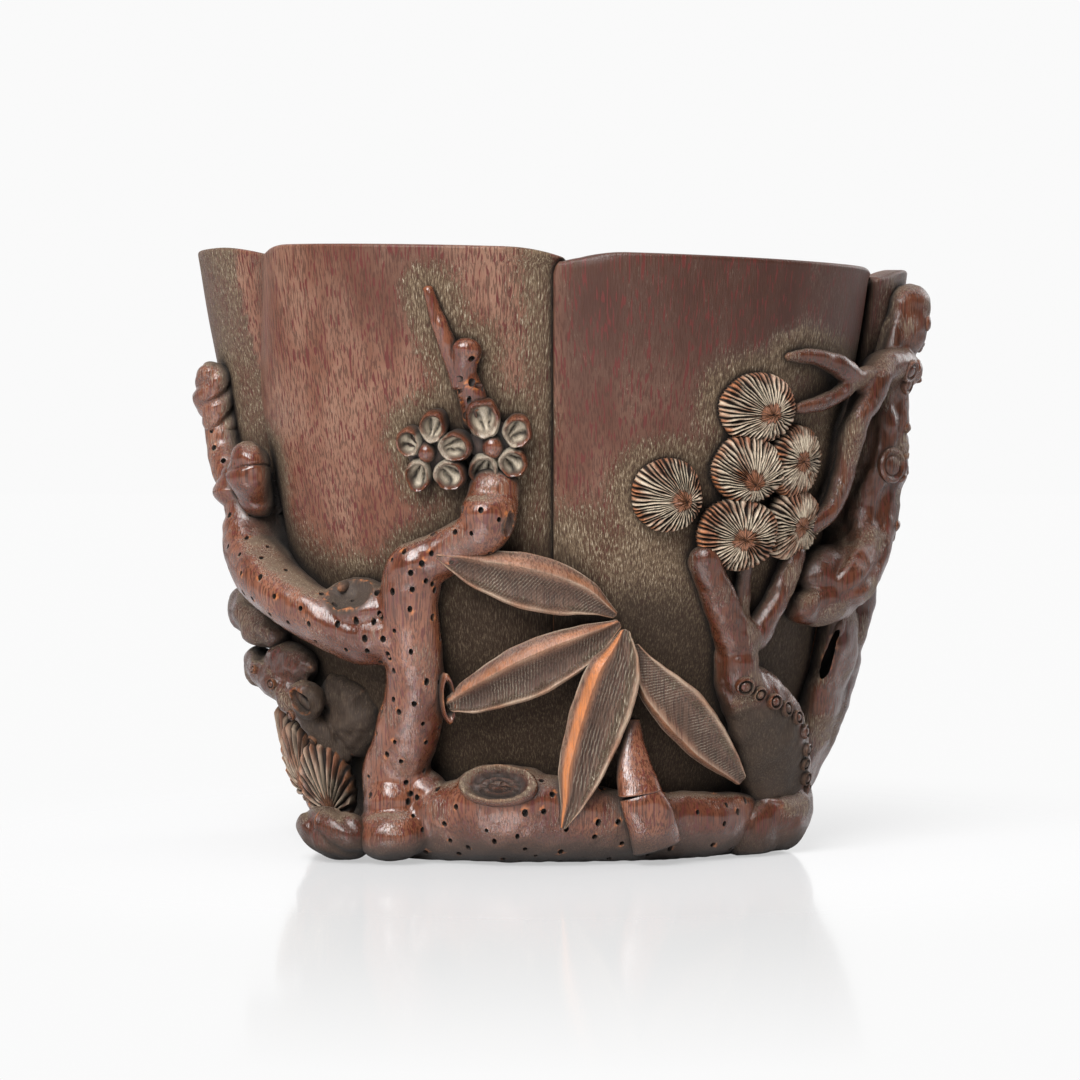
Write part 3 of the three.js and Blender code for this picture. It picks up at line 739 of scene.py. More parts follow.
def carved_bamboo(name, colours, tone, light, gloss, streaks, dusting, relief, shine):
    """Old bamboo, carved, stained and handled. The eye gets a red-brown ground with dark-red fibre bundles
    running straight up it, olive dust with pale scratches, dark brown recesses and near-black crevices that
    are painted shade and dirt laid where carving is close, orange wood worn bare on the edges, pale flecks
    that on leaf edges and needle backs are painted highlights, and a polish that comes and goes with the
    dust."""
    material = bpy.data.materials.new(name)
    material.use_nodes = True
    tree = material.node_tree
    shader = tree.nodes["Principled BSDF"]
    where = add_node(tree, "ShaderNodeTexCoord").outputs["Object"]

    values = {}
    for key, (across, along, detail, roughness) in GRAINS.items():
        scale = (1 / (across * MM), 1 / (across * MM), 1 / (along * MM))
        place = add_node(tree, "ShaderNodeMapping", None, Vector=where, Scale=scale)
        values[key] = add_node(
            tree, "ShaderNodeTexNoise", None,
            Vector=place.outputs["Vector"], Scale=1.0, Detail=detail, Roughness=roughness,
        ).outputs["Fac"]
    for key in (*MARKS, "shade"):
        values[key] = add_node(tree, "ShaderNodeAttribute", {"attribute_name": key}).outputs["Fac"]
    for key, reach in (("sky", SKY_REACH), ("contact", CONTACT_REACH)):
        values[key] = add_node(
            tree, "ShaderNodeAmbientOcclusion", {"samples": 8}, Distance=reach * MM
        ).outputs["AO"]
    # Each step makes a value from one or two others. A ramp gives where its source begins and ends to count,
    # and the values there.
    steps = (
        ("paler", "RAMP", "patches", (0.3, 0.7, 0.0, 1.0)),
        ("fibre", "RAMP", "fibres", (0.47, 0.6, 0.0, 0.72)),
        ("bundle", "RAMP", "bundles", (0.61, 0.68, 0.0, 1.0)),
        ("bundle", "MULTIPLY", "bundle", streaks),
        ("speck", "RAMP", "specks", (0.68, 0.74, 0.0, 0.6)),
        ("drift", "RAMP", "patches", (0.3, 0.7, -0.15, 0.15)),
        ("scratch", "RAMP", "grit", (0.35, 0.65, -0.35, 0.3)),
        ("powder", "ADD", "dust", "drift"),
        ("powder", "ADD", "powder", "scratch"),
        ("powder", "MULTIPLY", "powder", dusting),
        ("powder", "RAMP", "powder", (0.25, 0.85, 0.0, 1.0)),
        ("fine_dust", "RAMP", "grit", (0.42, 0.55, 0.0, 1.0)),
        ("pale_dust", "RAMP", "grit", (0.55, 0.74, 0.0, 1.0)),
        ("hollow_dust", "RAMP", "grit", (0.45, 0.75, 0.0, 0.5)),
        # Painted shade and dirt in recesses, where carving is near and where the shade mark says
        ("recess_shade_and_dirt", "RAMP", "sky", (0.4, 0.88, 0.85, 0.0)),
        ("recess_shade_and_dirt", "MAXIMUM", "recess_shade_and_dirt", "shade"),
        ("bare", "RAMP", "grit", (0.35, 0.6, 0.4, 1.0)),
        ("bare", "MULTIPLY", "wear", "bare"),
        # Painted contact shadow and dirt where two pieces meet
        ("contact_shadow_and_dirt", "RAMP", "contact", (0.3, 0.72, 0.85, 0.0)),
        # Near-black painted shade and dirt in crevices, where pieces meet and by the cut mark
        ("deep", "RAMP", "sky", (0.1, 0.42, 0.95, 0.0)),
        ("deep", "MAXIMUM", "contact_shadow_and_dirt", "deep"),
        ("deep", "MAXIMUM", "cut", "deep"),
        ("waver", "RAMP", "specks", (0.2, 0.8, 0.0, 2.2)),
        ("line", "MULTIPLY", "phase", math.tau / LINE_PITCH),
        ("line", "ADD", "line", "waver"),
        ("line", "SINE", "line", 0.0),
        ("strokes", "RAMP", "line", (0.1, 0.9, 0.0, 1.0)),
        ("strokes", "MULTIPLY", "strokes", "hatch"),
        ("broken", "RAMP", "grit", (0.38, 0.62, 0.05, 0.45)),
        ("strokes", "MULTIPLY", "strokes", "broken"),
        # Pale flecks: pale dust, and on leaf edges and needle backs a painted highlight
        ("pale_dust_and_highlight", "RAMP", "grit", (0.3, 0.6, 0.45, 1.0)),
        ("pale_dust_and_highlight", "MULTIPLY", "pale", "pale_dust_and_highlight"),
        ("dull", "MAXIMUM", "powder", "recess_shade_and_dirt"),
        ("dull", "MAXIMUM", "dull", "deep"),
        ("dull", "RAMP", "dull", (0.0, 1.0, gloss, 0.75)),
        ("height", "MULTIPLY", "fibres", 0.5),
        ("grit_height", "MULTIPLY", "grit", "powder"),
        ("height", "ADD", "height", "grit_height"),
        ("stroke_height", "MULTIPLY", "strokes", 0.6),
        ("height", "ADD", "height", "stroke_height"),
    )
    for key, kind, first, second in steps:
        if kind == "RAMP":
            low, high, to_low, to_high = second
            made = add_node(
                tree, "ShaderNodeMapRange", {"interpolation_type": "SMOOTHSTEP"},
                Value=values[first], From_Min=low, From_Max=high, To_Min=to_low, To_Max=to_high,
            )
        else:
            # A line's place runs on past 1, and every other value is a share
            settings = {"operation": kind, "use_clamp": key != "line"}
            made = add_node(tree, "ShaderNodeMath", settings, i0=values[first], i1=values.get(second, second))
        values[key] = made.outputs[0]

    dark = [c * DARK_SHARE for c in tone]
    # Colours laid over each other: what is made, the upper one's share, the lower one and the upper one
    coats = (
        ("dusty", "fine_dust", colours.dust_dark, colours.dust),
        ("dusty", "pale_dust", "dusty", colours.dust_pale),
        # Painted shade: the recess colour with a little dust, for wood that the carving shelters
        ("hollow", "hollow_dust", colours.recess, colours.dust),
        ("ground", "paler", tone, light),
        ("ground", "stain", "ground", colours.stain),
        ("ground", "fibre", "ground", dark),
        ("ground", "bundle", "ground", colours.streak),
        ("ground", "speck", "ground", dark),
        ("ground", "powder", "ground", "dusty"),
        ("ground", "recess_shade_and_dirt", "ground", "hollow"),
        ("ground", "bare", "ground", colours.worn),
        # Painted shade and dirt: near-black in crevices, where pieces meet and in cuts
        ("ground", "deep", "ground", colours.crevice_dirt_and_shade),
        ("ground", "strokes", "ground", colours.dust_pale),
        # Pale dust, which on leaf edges and needle backs is a painted highlight
        ("ground", "pale_dust_and_highlight", "ground", colours.dust_pale),
    )
    tints = {}
    for key, share, *ends in coats:
        lower, upper = [tints[end] if isinstance(end, str) else (*end, 1.0) for end in ends]
        tints[key] = add_node(
            tree, "ShaderNodeMix", {"data_type": "RGBA"}, Factor=values[share], i6=lower, i7=upper
        ).outputs[2]
    tree.links.new(tints["ground"], shader.inputs["Base Color"])
    tree.links.new(values["dull"], shader.inputs["Roughness"])
    shader.inputs["IOR"].default_value = 1.5
    shader.inputs["Specular IOR Level"].default_value = shine

    bump = add_node(
        tree, "ShaderNodeBump", None, Strength=relief, Distance=0.25 * MM, Height=values["height"]
    )
    tree.links.new(bump.outputs["Normal"], shader.inputs["Normal"])


def surface_marks(mesh, dust_stain_and_shade, rubbed):
    """Writes how dusty, shaded, stained and worn each point of a mesh is."""
    count = len(mesh.vertices)
    spots = np.empty(count * 3)
    mesh.vertices.foreach_get("co", spots)
    spots = spots.reshape(-1, 3)
    normals = np.empty(count * 3, dtype=np.float32)
    mesh.vertex_normals.foreach_get("vector", normals)
    normals = normals.reshape(-1, 3)
    edges = np.empty(len(mesh.edges) * 2, dtype=np.int32)
    mesh.edges.foreach_get("vertices", edges)
    a, b = edges.reshape(-1, 2).T
    away = spots[a] - spots[b]
    away *= 2 * MM / np.maximum((away * away).sum(axis=1), 1e-12)[:, None]
    bend = np.zeros(count)
    links = np.zeros(count)
    np.add.at(bend, a, np.einsum("ij,ij->i", normals[a], away))
    np.add.at(bend, b, -np.einsum("ij,ij->i", normals[b], away))
    np.add.at(links, a, 1)
    np.add.at(links, b, 1)
    bend /= np.maximum(links, 1)
    for _ in range(2):
        spread = bend.copy()
        np.add.at(spread, a, bend[b])
        np.add.at(spread, b, bend[a])
        bend = spread / (links + 1)
    dust_stain_and_shade_values = np.array([dust_stain_and_shade(spot / MM, normal) for spot, normal in zip(spots, normals)])
    marks = {
        "dust": dust_stain_and_shade_values[:, 0],
        "shade": dust_stain_and_shade_values[:, 1],
        "stain": dust_stain_and_shade_values[:, 2],
        "wear": rubbed * np.clip((bend - 0.8) / 2.2, 0, 1),
    }
    for name, values in marks.items():
        layer = mesh.attributes.get(name)
        if layer:
            carved = np.empty(count, dtype=np.float32)
            layer.data.foreach_get("value", carved)
            values = np.maximum(values, carved)
        else:
            layer = mesh.attributes.new(name, "FLOAT", "POINT")
        layer.data.foreach_set("value", values.astype(np.float32))


def add_piece(context, name, bm, finish, nodes, dust_stain_and_shade, sharp=42, rubbed=0.7):
    """Makes a finished object of a bmesh in millimetres, standing for CAD nodes."""
    bmesh.ops.remove_doubles(bm, verts=bm.verts, dist=2e-3)
    bmesh.ops.recalc_face_normals(bm, faces=bm.faces)
    bmesh.ops.scale(bm, vec=Vector((MM, MM, MM)), verts=bm.verts)
    mesh = bpy.data.meshes.new(name)
    bm.to_mesh(mesh)
    bm.free()
    mesh.shade_smooth()
    mesh.set_sharp_from_angle(angle=math.radians(sharp))
    surface_marks(mesh, dust_stain_and_shade, rubbed)
    mesh.materials.append(bpy.data.materials[finish])
    piece = bpy.data.objects.new(name, mesh)
    context.collection.objects.link(piece)
    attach(piece, "root")
    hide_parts(*nodes)


def length(name, description, default):
    return FloatProperty(name=name, description=description, default=default, min=0.0, unit="LENGTH")


def colour(name, description, default):
    return FloatVectorProperty(
        name=name, description=description, default=hex_colour(default), subtype="COLOR", size=3
    )


class CupSizes(bpy.types.PropertyGroup):
    """Sizes of the vessel"""

    rim_height: length("Rim height", "Lip above the foot at the front", 0.0855)
    rim_tilt: length("Rim tilt", "Rise of the lip at the left and fall at the right", 0.0014)
    rim_half_width: length("Rim half width", "Half the width at the lip", 0.0522)
    lip_flare_height: length("Lip flare", "Height of the stretch that turns outwards", 0.011)
    neck_half_width: length("Neck half width", "Half the width under the flare", 0.0502)
    belly_height: length("Belly height", "Height of the middle station", 0.038)
    belly_half_width: length("Belly half width", "Half the width at the middle station", 0.0423)
    foot_half_width: length("Foot half width", "Half the width at the foot", 0.03)
    plan_ratio: FloatProperty(
        name="Plan ratio", description="Depth over width", default=0.79, min=0.4, max=1.0
    )
    notch_depth: length("Notch depth", "How far the petals' edges draw in", 0.0032)
    petal_foot: length("Petal foot", "Height where the petals have run out", 0.025)
    petal_full: length("Petal full", "Height where the notches are at full depth", 0.05)
    lip_wall: length("Lip wall", "Wall at the lip", 0.0028)
    lower_wall: length("Lower wall", "Wall at the foot", 0.0046)
    floor_height: length("Floor height", "Inside floor above the foot", 0.017)
    floor_round: length("Floor round", "Rounding between the floor and the wall", 0.006)


class CupColours(bpy.types.PropertyGroup):
    """Colours of the old bamboo"""

    wall: colour("Polished wall", "Handled ground of the vessel", "#69402f")
    wall_light: colour("Light wall", "Paler stretches of the vessel", "#866250")
    stain: colour("Stain", "Darkest stretches of the polished wall", "#2c1511")
    prunus: colour("Prunus wood", "Rubbed ground of trunk, branches and root", "#552a18")
    prunus_light: colour("Light prunus wood", "Paler stretches of the prunus", "#83513a")
    pine: colour("Pine wood", "Ground of the pine's trunk and stems", "#452415")
    pine_light: colour("Light pine wood", "Redder stretches of the pine", "#633824")
    sprig: colour("Leaves", "Ground of the bamboo leaves and culm", "#664a3c")
    sprig_light: colour("Light leaves", "Paler stretches of the leaves", "#8d6a57")
    needles: colour("Needles", "Ground of the needle pads", "#855843")
    needles_light: colour("Light needles", "Paler needles", "#a37760")
    streak: colour("Fibre streaks", "Dark red fibre bundles", "#572520")
    dust: colour("Dust", "Olive dust in the hollows", "#725f4a")
    dust_pale: colour("Pale dust", "Dust caught on the fibres", "#c9bca6")
    dust_dark: colour("Dark dust", "Ground between the dust", "#443427")
    recess: colour("Recesses", "Wood shaded by the carving", "#2c1f14")
    worn: colour("Worn edges", "Wood rubbed bare", "#c67841")
    # Near-black: dirt in the deepest cuts, and painted shade in crevices, on undersides and where pieces meet
    crevice_dirt_and_shade: colour("Crevices", "Dirt in the deepest cuts", "#120c08")


class StageSettings(bpy.types.PropertyGroup):
    """Floor, light and camera"""

    floor: colour("Floor", "Pale floor", "#ececee")
    camera_distance: length("Camera distance", "Camera in front of the cup's middle", 0.52)
    camera_height: length("Camera height", "Camera above the floor", 0.06)
    camera_tilt: FloatProperty(
        name="Camera tilt", description="How far the camera looks down",
        default=math.radians(1.72), subtype="ANGLE",
    )
    lens: FloatProperty(name="Lens", description="Focal length in millimetres", default=117.93, min=10.0)


# Stops of each limb: bearing in degrees, height in hundredths of the rim's, share of the radius, and how far
# it rides up over the prunus root. Leaves and culms give their half width in millimetres as the share.
LEAVES = {
    "bamboo_leaf_top": (Blade(-0.5, 0.5, False, 0.3), [
        (-19.2, 50.6, 0.4, 1.15), (-16, 49.6, 1.7, 0.7), (-13, 48.6, 2.6, 0.42), (-5.4, 46.8, 3.8, 0.2),
        (1.1, 45.2, 3.5, 0.15), (5.3, 44, 2.6, 0.2), (9.2, 42.2, 1.2, 0.3), (11.1, 41.2, 0.6, 0.35),
    ]),
    "bamboo_leaf_left": (Blade(-0.45, 0.5, False, 0.5), [
        (-19.4, 26.6, 1.2, 0.85), (-16.5, 27.5, 2.2, 0.55), (-13.2, 28.7, 2.8, 0.35), (-5.3, 31.8, 3.8, 0.15),
        (1.6, 34.7, 3.4, 0.15), (7.3, 37.1, 2.4, 0.25), (11.7, 39.4, 0.8, 0.35),
    ]),
    "bamboo_leaf_down": (Blade(0.55, 0.42, True, 0.95), [
        (13.3, 38, 0.8, 0.4), (12.4, 34.5, 2.6, 0.4), (11.3, 31.9, 3.5, 0.4), (9.1, 25.4, 3.75, 0.5),
        (7.1, 20.2, 3.3, 0.8), (5.3, 15.4, 2.6, 1.25), (3.8, 10.7, 1.4, 1.75), (2.1, 6.8, 0.35, 1.95),
    ]),
    "bamboo_leaf_right": (Blade(0.82, 0.3, False, 0.3), [
        (15.6, 35.6, 0.7, 0.4), (18, 32, 1.9, 0.35), (20.1, 29.7, 2.6, 0.35), (25.8, 25.1, 3.2, 0.45),
        (32.4, 20, 2.7, 0.65), (38.9, 16, 1.7, 0.85), (43.6, 13.4, 0.9, 0.95),
    ]),
}
BACK_LEAVES = {
    "bamboo_leaf_back_1": (Blade(-0.4, 0.4, False, 0.5), [
        (172, 41, 1.0), (164, 36, 3.1), (157, 30, 3.3), (150, 24, 0.8),
    ]),
    "bamboo_leaf_back_2": (Blade(0.4, 0.4, True, 0.6), [
        (178, 39, 1.0), (178, 32, 3.3), (180, 24, 3.6), (184, 16, 0.8),
    ]),
    "bamboo_leaf_back_3": (Blade(-0.4, 0.4, False, 0.5), [
        (183, 42, 1.0), (190, 45, 2.9), (198, 46, 3.1), (206, 44, 0.8),
    ]),
}
CULMS = {
    "bamboo_culm_lower": [
        (22.8, 3, 2.8, 1.34), (20.6, 6.5, 2.75, 1.62), (18.4, 10.3, 2.6, 1.6), (17.5, 11.9, 2.5, 1.48),
    ],
    "bamboo_culm_upper": [
        (17.3, 12.3, 2.55, 1.5), (16.6, 15, 2.3, 1.25), (16.3, 18.5, 1.8, 0.9), (16.3, 24, 0.9, 0.5),
    ],
}
# Prunus limbs: radius, how far each stands out against its width, stops
PRUNUS = {
    "prunus_trunk": (4.0, 1.0, [
        (-38, 9, 1.1), (-36.5, 14, 1.08), (-31.5, 21, 1), (-27.5, 28.6, 0.97),
        (-27, 36, 0.98), (-26.5, 43.4, 0.95), (-24.6, 48.4, 0.9), (-22, 50.2, 0.8),
    ]),
    "prunus_upper_branch": (3.2, 1.0, [
        (-25, 48.6, 1.0), (-21.5, 50, 0.98), (-17, 52.2, 0.95), (-12.4, 54.4, 1.05),
        (-10.8, 56.8, 1.14), (-10.4, 58.8, 1.16, -0.15), (-10.2, 60.8, 1.1, -0.5),
    ]),
    "prunus_left_branch": (3.5, 1.15, [
        (-27, 37, 0.95), (-30.8, 37, 1.0), (-37.8, 37, 1.1), (-45.1, 39.6, 1.18),
        (-53.3, 43, 1.24), (-61, 46.6, 1.26), (-66.5, 50.4, 1.16), (-68.6, 54, 0.98),
    ]),
    "prunus_branch_tip": (3.2, 1.1, [
        (-68.4, 53.5, 1), (-69.5, 57, 0.95), (-73, 60.5, 0.88), (-77.5, 64, 0.8),
        (-80, 67.5, 0.75), (-80.5, 70.6, 0.7),
    ]),
    "prunus_root": (ROOT_RADIUS, 0.8, [
        (54, 4.6, 0.82), (47, 5.2, 1.0), (39, 5.6, 1.08), (26, 5.8, 1.1), (14, 6.2, 1.12), (4, 7.2, 1.28),
        (-7, 7.9, 1.42), (-14, 7.7, 1.42), (-22, 6.8, 1.25), (-30, 5.8, 1.2), (-38, 5.4, 1.15),
    ]),
}
# Plum blossoms: bearing, level, lift, heart, and petals by middle, half width and half height
BLOSSOMS = {
    "plum_blossom_left": (-21.0, 67.7, 0.6, 1.3, (
        (-2.4, 1.5, 1.75, 2.1), (1.2, 3.7, 1.85, 2.3), (4.1, 0.9, 2.35, 2.1),
        (3.1, -3.1, 2.3, 2.2), (-1.4, -3.2, 1.8, 2.4),
    )),
    "plum_blossom_right": (-10.1, 68.5, 0.5, 1.5, (
        (-1.3, 4.1, 2.5, 2.8), (3.3, 2.3, 2.0, 2.3), (2.7, -2.1, 2.0, 2.1), (-1.3, -3.3, 2.1, 2.5),
    )),
    "plum_blossom_back": (222, 62, 0.3, 1.5, (
        (-1.2, 4.1, 2.4, 2.6), (3.1, 2.3, 2.0, 2.3), (2.8, -2.2, 2.0, 2.2),
        (-1.3, -3.5, 2.2, 2.3), (-3.7, 0.6, 2.0, 2.0),
    )),
}
TWIGS = {
    "prunus_stub": (1.75, [
        (-13, 72, 1.1, -0.4), (-13, 75.5, 1.1, -0.15), (-14, 80, 0.92), (-13.4, 83.4, 1.12),
    ]),
    "prunus_spur": (1.25, [(-14.8, 78, 1.1), (-15.9, 82, 1.05), (-17.4, 86.5, 0.95), (-19.4, 93, 0.6)]),
}
PINE = {
    "pine_trunk": (4.4, [
        (78, 87, 0.8, -0.35), (76.4, 81, 0.9, -0.35), (75.8, 74, 0.97, -0.35), (75.8, 67.4, 1.05, -0.3),
        (76, 60, 1.05, -0.25), (74.6, 53.6, 1.05, -0.15), (70.5, 48.8, 1.06, -0.05), (65.5, 45.4, 1.06),
    ]),
    "pine_trunk_knob": (3.6, [(80, 91.6, 0.95, -0.25), (79.5, 86.5, 1.0, -0.25)]),
    "pine_branch": (2.1, [
        (78, 80.6, 1.35, 0.3), (72, 81.6, 1.15, 0.32), (66, 80.4, 1.02, 0.32), (63.2, 76.2, 0.96, 0.3),
        (60, 72.1, 0.92, 0.28), (60, 67.1, 0.88, 0.26), (59.6, 62.1, 0.84, 0.25), (57, 57.6, 0.78, 0.25),
        (52.4, 55.2, 0.62, 0.2),
    ]),
    "pine_twig_upper": (1.35, [
        (62, 79.6, 1.25, 0.25), (57.5, 79.2, 1.2, 0.22), (52, 81.4, 1.05, 0.16), (46, 82.7, 0.85, 0.1),
        (40.6, 82.7, 0.5, 0.06),
    ]),
    "pine_twig_lower": (1.25, [
        (60, 79.6, 1.15, 0.25), (56.6, 78.2, 1.1, 0.25), (52, 76, 1, 0.22), (47.4, 74.8, 0.88, 0.2),
        (43.4, 74.3, 0.65, 0.2),
    ]),
    "pine_root": (3.3, [
        (82, 49, 0.75), (86, 41.5, 0.85, 0.1), (86.5, 35.8, 0.9, 0.12), (86, 28.6, 0.95, 0.12),
        (85.5, 21.4, 1.0, 0.1), (84.6, 14.1, 0.95, 0.05), (82, 8, 0.9, -0.1), (78, 4, 0.8, -0.2),
    ]),
}
STUMP = {
    "pine_stem_middle": (1.9, [(37, 50, 0.6), (37.4, 46, 0.62), (37.9, 41.5, 0.72), (39, 36.6, 0.9)]),
    "pine_stem_left": (2.6, [(27.4, 50, 0.8), (29.4, 46.6, 0.86), (33, 41.4, 0.95), (37.8, 35.8, 1.1)]),
    "pine_stem_right": (2.4, [(49.6, 50, 0.75), (48.4, 47.6, 0.78), (46, 42.4, 0.82), (42, 36.9, 0.95)]),
    "pine_stump": (2.3, [
        (38.6, 37, 0.95), (38.2, 33.6, 1.15, 0.1), (39.1, 30.1, 1.15, 0.25), (43, 27.3, 0.9, 0.5),
        (49.5, 25, 0.75, 0.6), (56, 21.8, 0.72, 0.62), (59.5, 17.6, 0.7, 0.6), (61.2, 13.6, 0.7, 0.55),
        (66, 10, 0.8, 0.4),
    ]),
}
# Needle pads: bearing, level, lift off the wall, radii, hub, tilt
PADS = {
    "pine_pad_1": (34.8, 74.6, 0.3, (5.8, 5.1), (1.9, -0.8), (0, -6)),
    "pine_pad_4": (44.8, 65.8, 0.4, (5.2, 5.2), (-0.3, 0.2), (-4, 8)),
    "pine_pad_2": (19.8, 60.4, 0.2, (4.9, 5.1), (2.6, -0.4), (0, -10)),
    "pine_pad_6": (46.8, 55.6, 0.5, (5.7, 5.2), (0.2, 0.1), (2, 6)),
    "pine_pad_3": (34, 64.5, 0.9, (5.5, 4.8), (0.5, -2.0), (-4, -4)),
    "pine_pad_5": (33.4, 54.2, 1.2, (6.2, 5.2), (0.4, -0.4), (2, -4)),
}
BACK_PADS = {
    "pine_pad_back_1": (124, 72, 0.3, (5.4, 5.3), (0.6, -0.8), (0, 4)),
    "pine_pad_back_2": (140, 66, 0.4, (5.3, 5.2), (-0.4, -0.6), (0, 0)),
    "pine_pad_back_3": (150, 54, 0.5, (5.4, 5.2), (0.3, 0.4), (2, -4)),
}
LEFT_PADS = {
    "left_pad_3": (-83, 18, 2.2, (4.2, 5.6), (0.6, -3.4), (0, 8)),
    "left_pad_2": (-71, 15, 2.9, (4.4, 6.2), (0.6, -3.8), (0, 14)),
    "left_pad_1": (-58.5, 12.2, 3.9, (4.4, 6.4), (0.6, -3.8), (0, 18)),
}
# Bearings, and the height in millimetres under which the wall there lies in the carving's shade
SHADE_LINE = (
    (-180, 34), (-120, 38), (-92, 46), (-69, 45), (-53, 38), (-38, 32), (-28, 34), (-15, 44), (0, 41),
    (15, 40), (30, 39), (45, 42), (60, 47), (80, 52), (100, 44), (140, 36), (180, 34),
)


def dust_stain_and_painted_shade(wall, low, high, most, settled=0.0, hollows=(), stain=0.0, patches=0.0):
    """Dust that lies near the wall, on what faces up and in patches, painted shade where carving meets the
    wall and in hollows, each given by its middle and reach, and a given stain with painted shade darkening it
    towards the foot."""

    def dust_stain_and_shade(spot, normal):
        off = wall.off(spot)
        dust = max(most * (1 - smooth(off, low, high)), settled * smooth(normal[2], 0.48, 0.86))
        dust = max(dust, patches * smooth(rough(spot, 5.0, 62.0), -0.05, 0.35))
        # Painted shade where carving meets the wall, in the cup's lower half
        shade = 0.85 * (1 - smooth(off, 0.4, 3.0)) * (1 - smooth(spot[2], 44, 60))
        for middle, reach in hollows:
            shade = max(shade, 0.95 * (1 - smooth((Vector(spot) - middle).length, 0.75 * reach, reach)))
        # The given stain, and painted shade that darkens towards the foot
        return dust, shade, stain + 0.05 * (1 - smooth(spot[2], 12, 34))

    return dust_stain_and_shade


def gnarled(amount, grain, seed):
    """An uneven skin, in millimetres of swelling."""

    def carve(distance, turn, half):
        return amount * rough((distance, half * math.cos(turn), half * math.sin(turn)), grain, seed)

    return carve


def weathered(bm, amount, grain, seed):
    """Small dents all over a skin."""
    bm.normal_update()
    shifts = [vert.normal * (amount * rough(vert.co, grain, seed)) for vert in bm.verts]
    for vert, shift in zip(bm.verts, shifts):
        vert.co += shift
    return bm


class Skin:
    """Finds places on a finished skin, looking in from outside the wall."""

    def __init__(self, wall, bm):
        self.wall, self.tree = wall, BVHTree.FromBMesh(bm)

    def place(self, bearing, level, sink=0.0, spin=0.0):
        """X along the wall, Z out of the skin."""
        height = level * self.wall.rim_height / 100
        start = self.wall.eased_point(bearing, height, 25.0)
        end = self.wall.eased_point(bearing, height, 0.0)
        spot, outward, _, _ = self.tree.ray_cast(start, (end - start).normalized())
        if spot is None:
            return self.wall.frame(bearing, level, -sink, (0, 0), spin)
        along = Vector((0, 0, 1)).cross(outward).normalized()
        axes = Matrix((along, outward.cross(along), outward)).transposed().to_4x4()
        return Matrix.Translation(spot - outward * sink) @ axes @ Matrix.Rotation(math.radians(spin), 4, "Z")


class BuildFinishes(bpy.types.Operator):
    """Makes the finishes of the old bamboo"""

    bl_idname = "libation_cup.finishes"
    bl_label = "Finishes"

    def execute(self, context):
        colours = context.scene.cup_colours
        # Ground and paler ground, then roughness, fibre bundles, dust, relief and specular level
        finishes = {
            "bamboo_polished_wall": (colours.wall, colours.wall_light, 0.36, 0.95, 1.0, 0.75, 0.3),
            "bamboo_rubbed_prunus": (colours.prunus, colours.prunus_light, 0.19, 0.8, 0.9, 0.45, 0.72),
            "bamboo_carved_pine": (colours.pine, colours.pine_light, 0.24, 0.6, 0.9, 0.6, 0.5),
            "bamboo_carved_leaves": (colours.sprig, colours.sprig_light, 0.34, 0.4, 0.9, 0.9, 0.4),
            "bamboo_cut_needles": (colours.needles, colours.needles_light, 0.42, 0.25, 0.5, 0.4, 0.3),
        }
        for name, values in finishes.items():
            carved_bamboo(name, colours, *values)
        return {"FINISHED"}


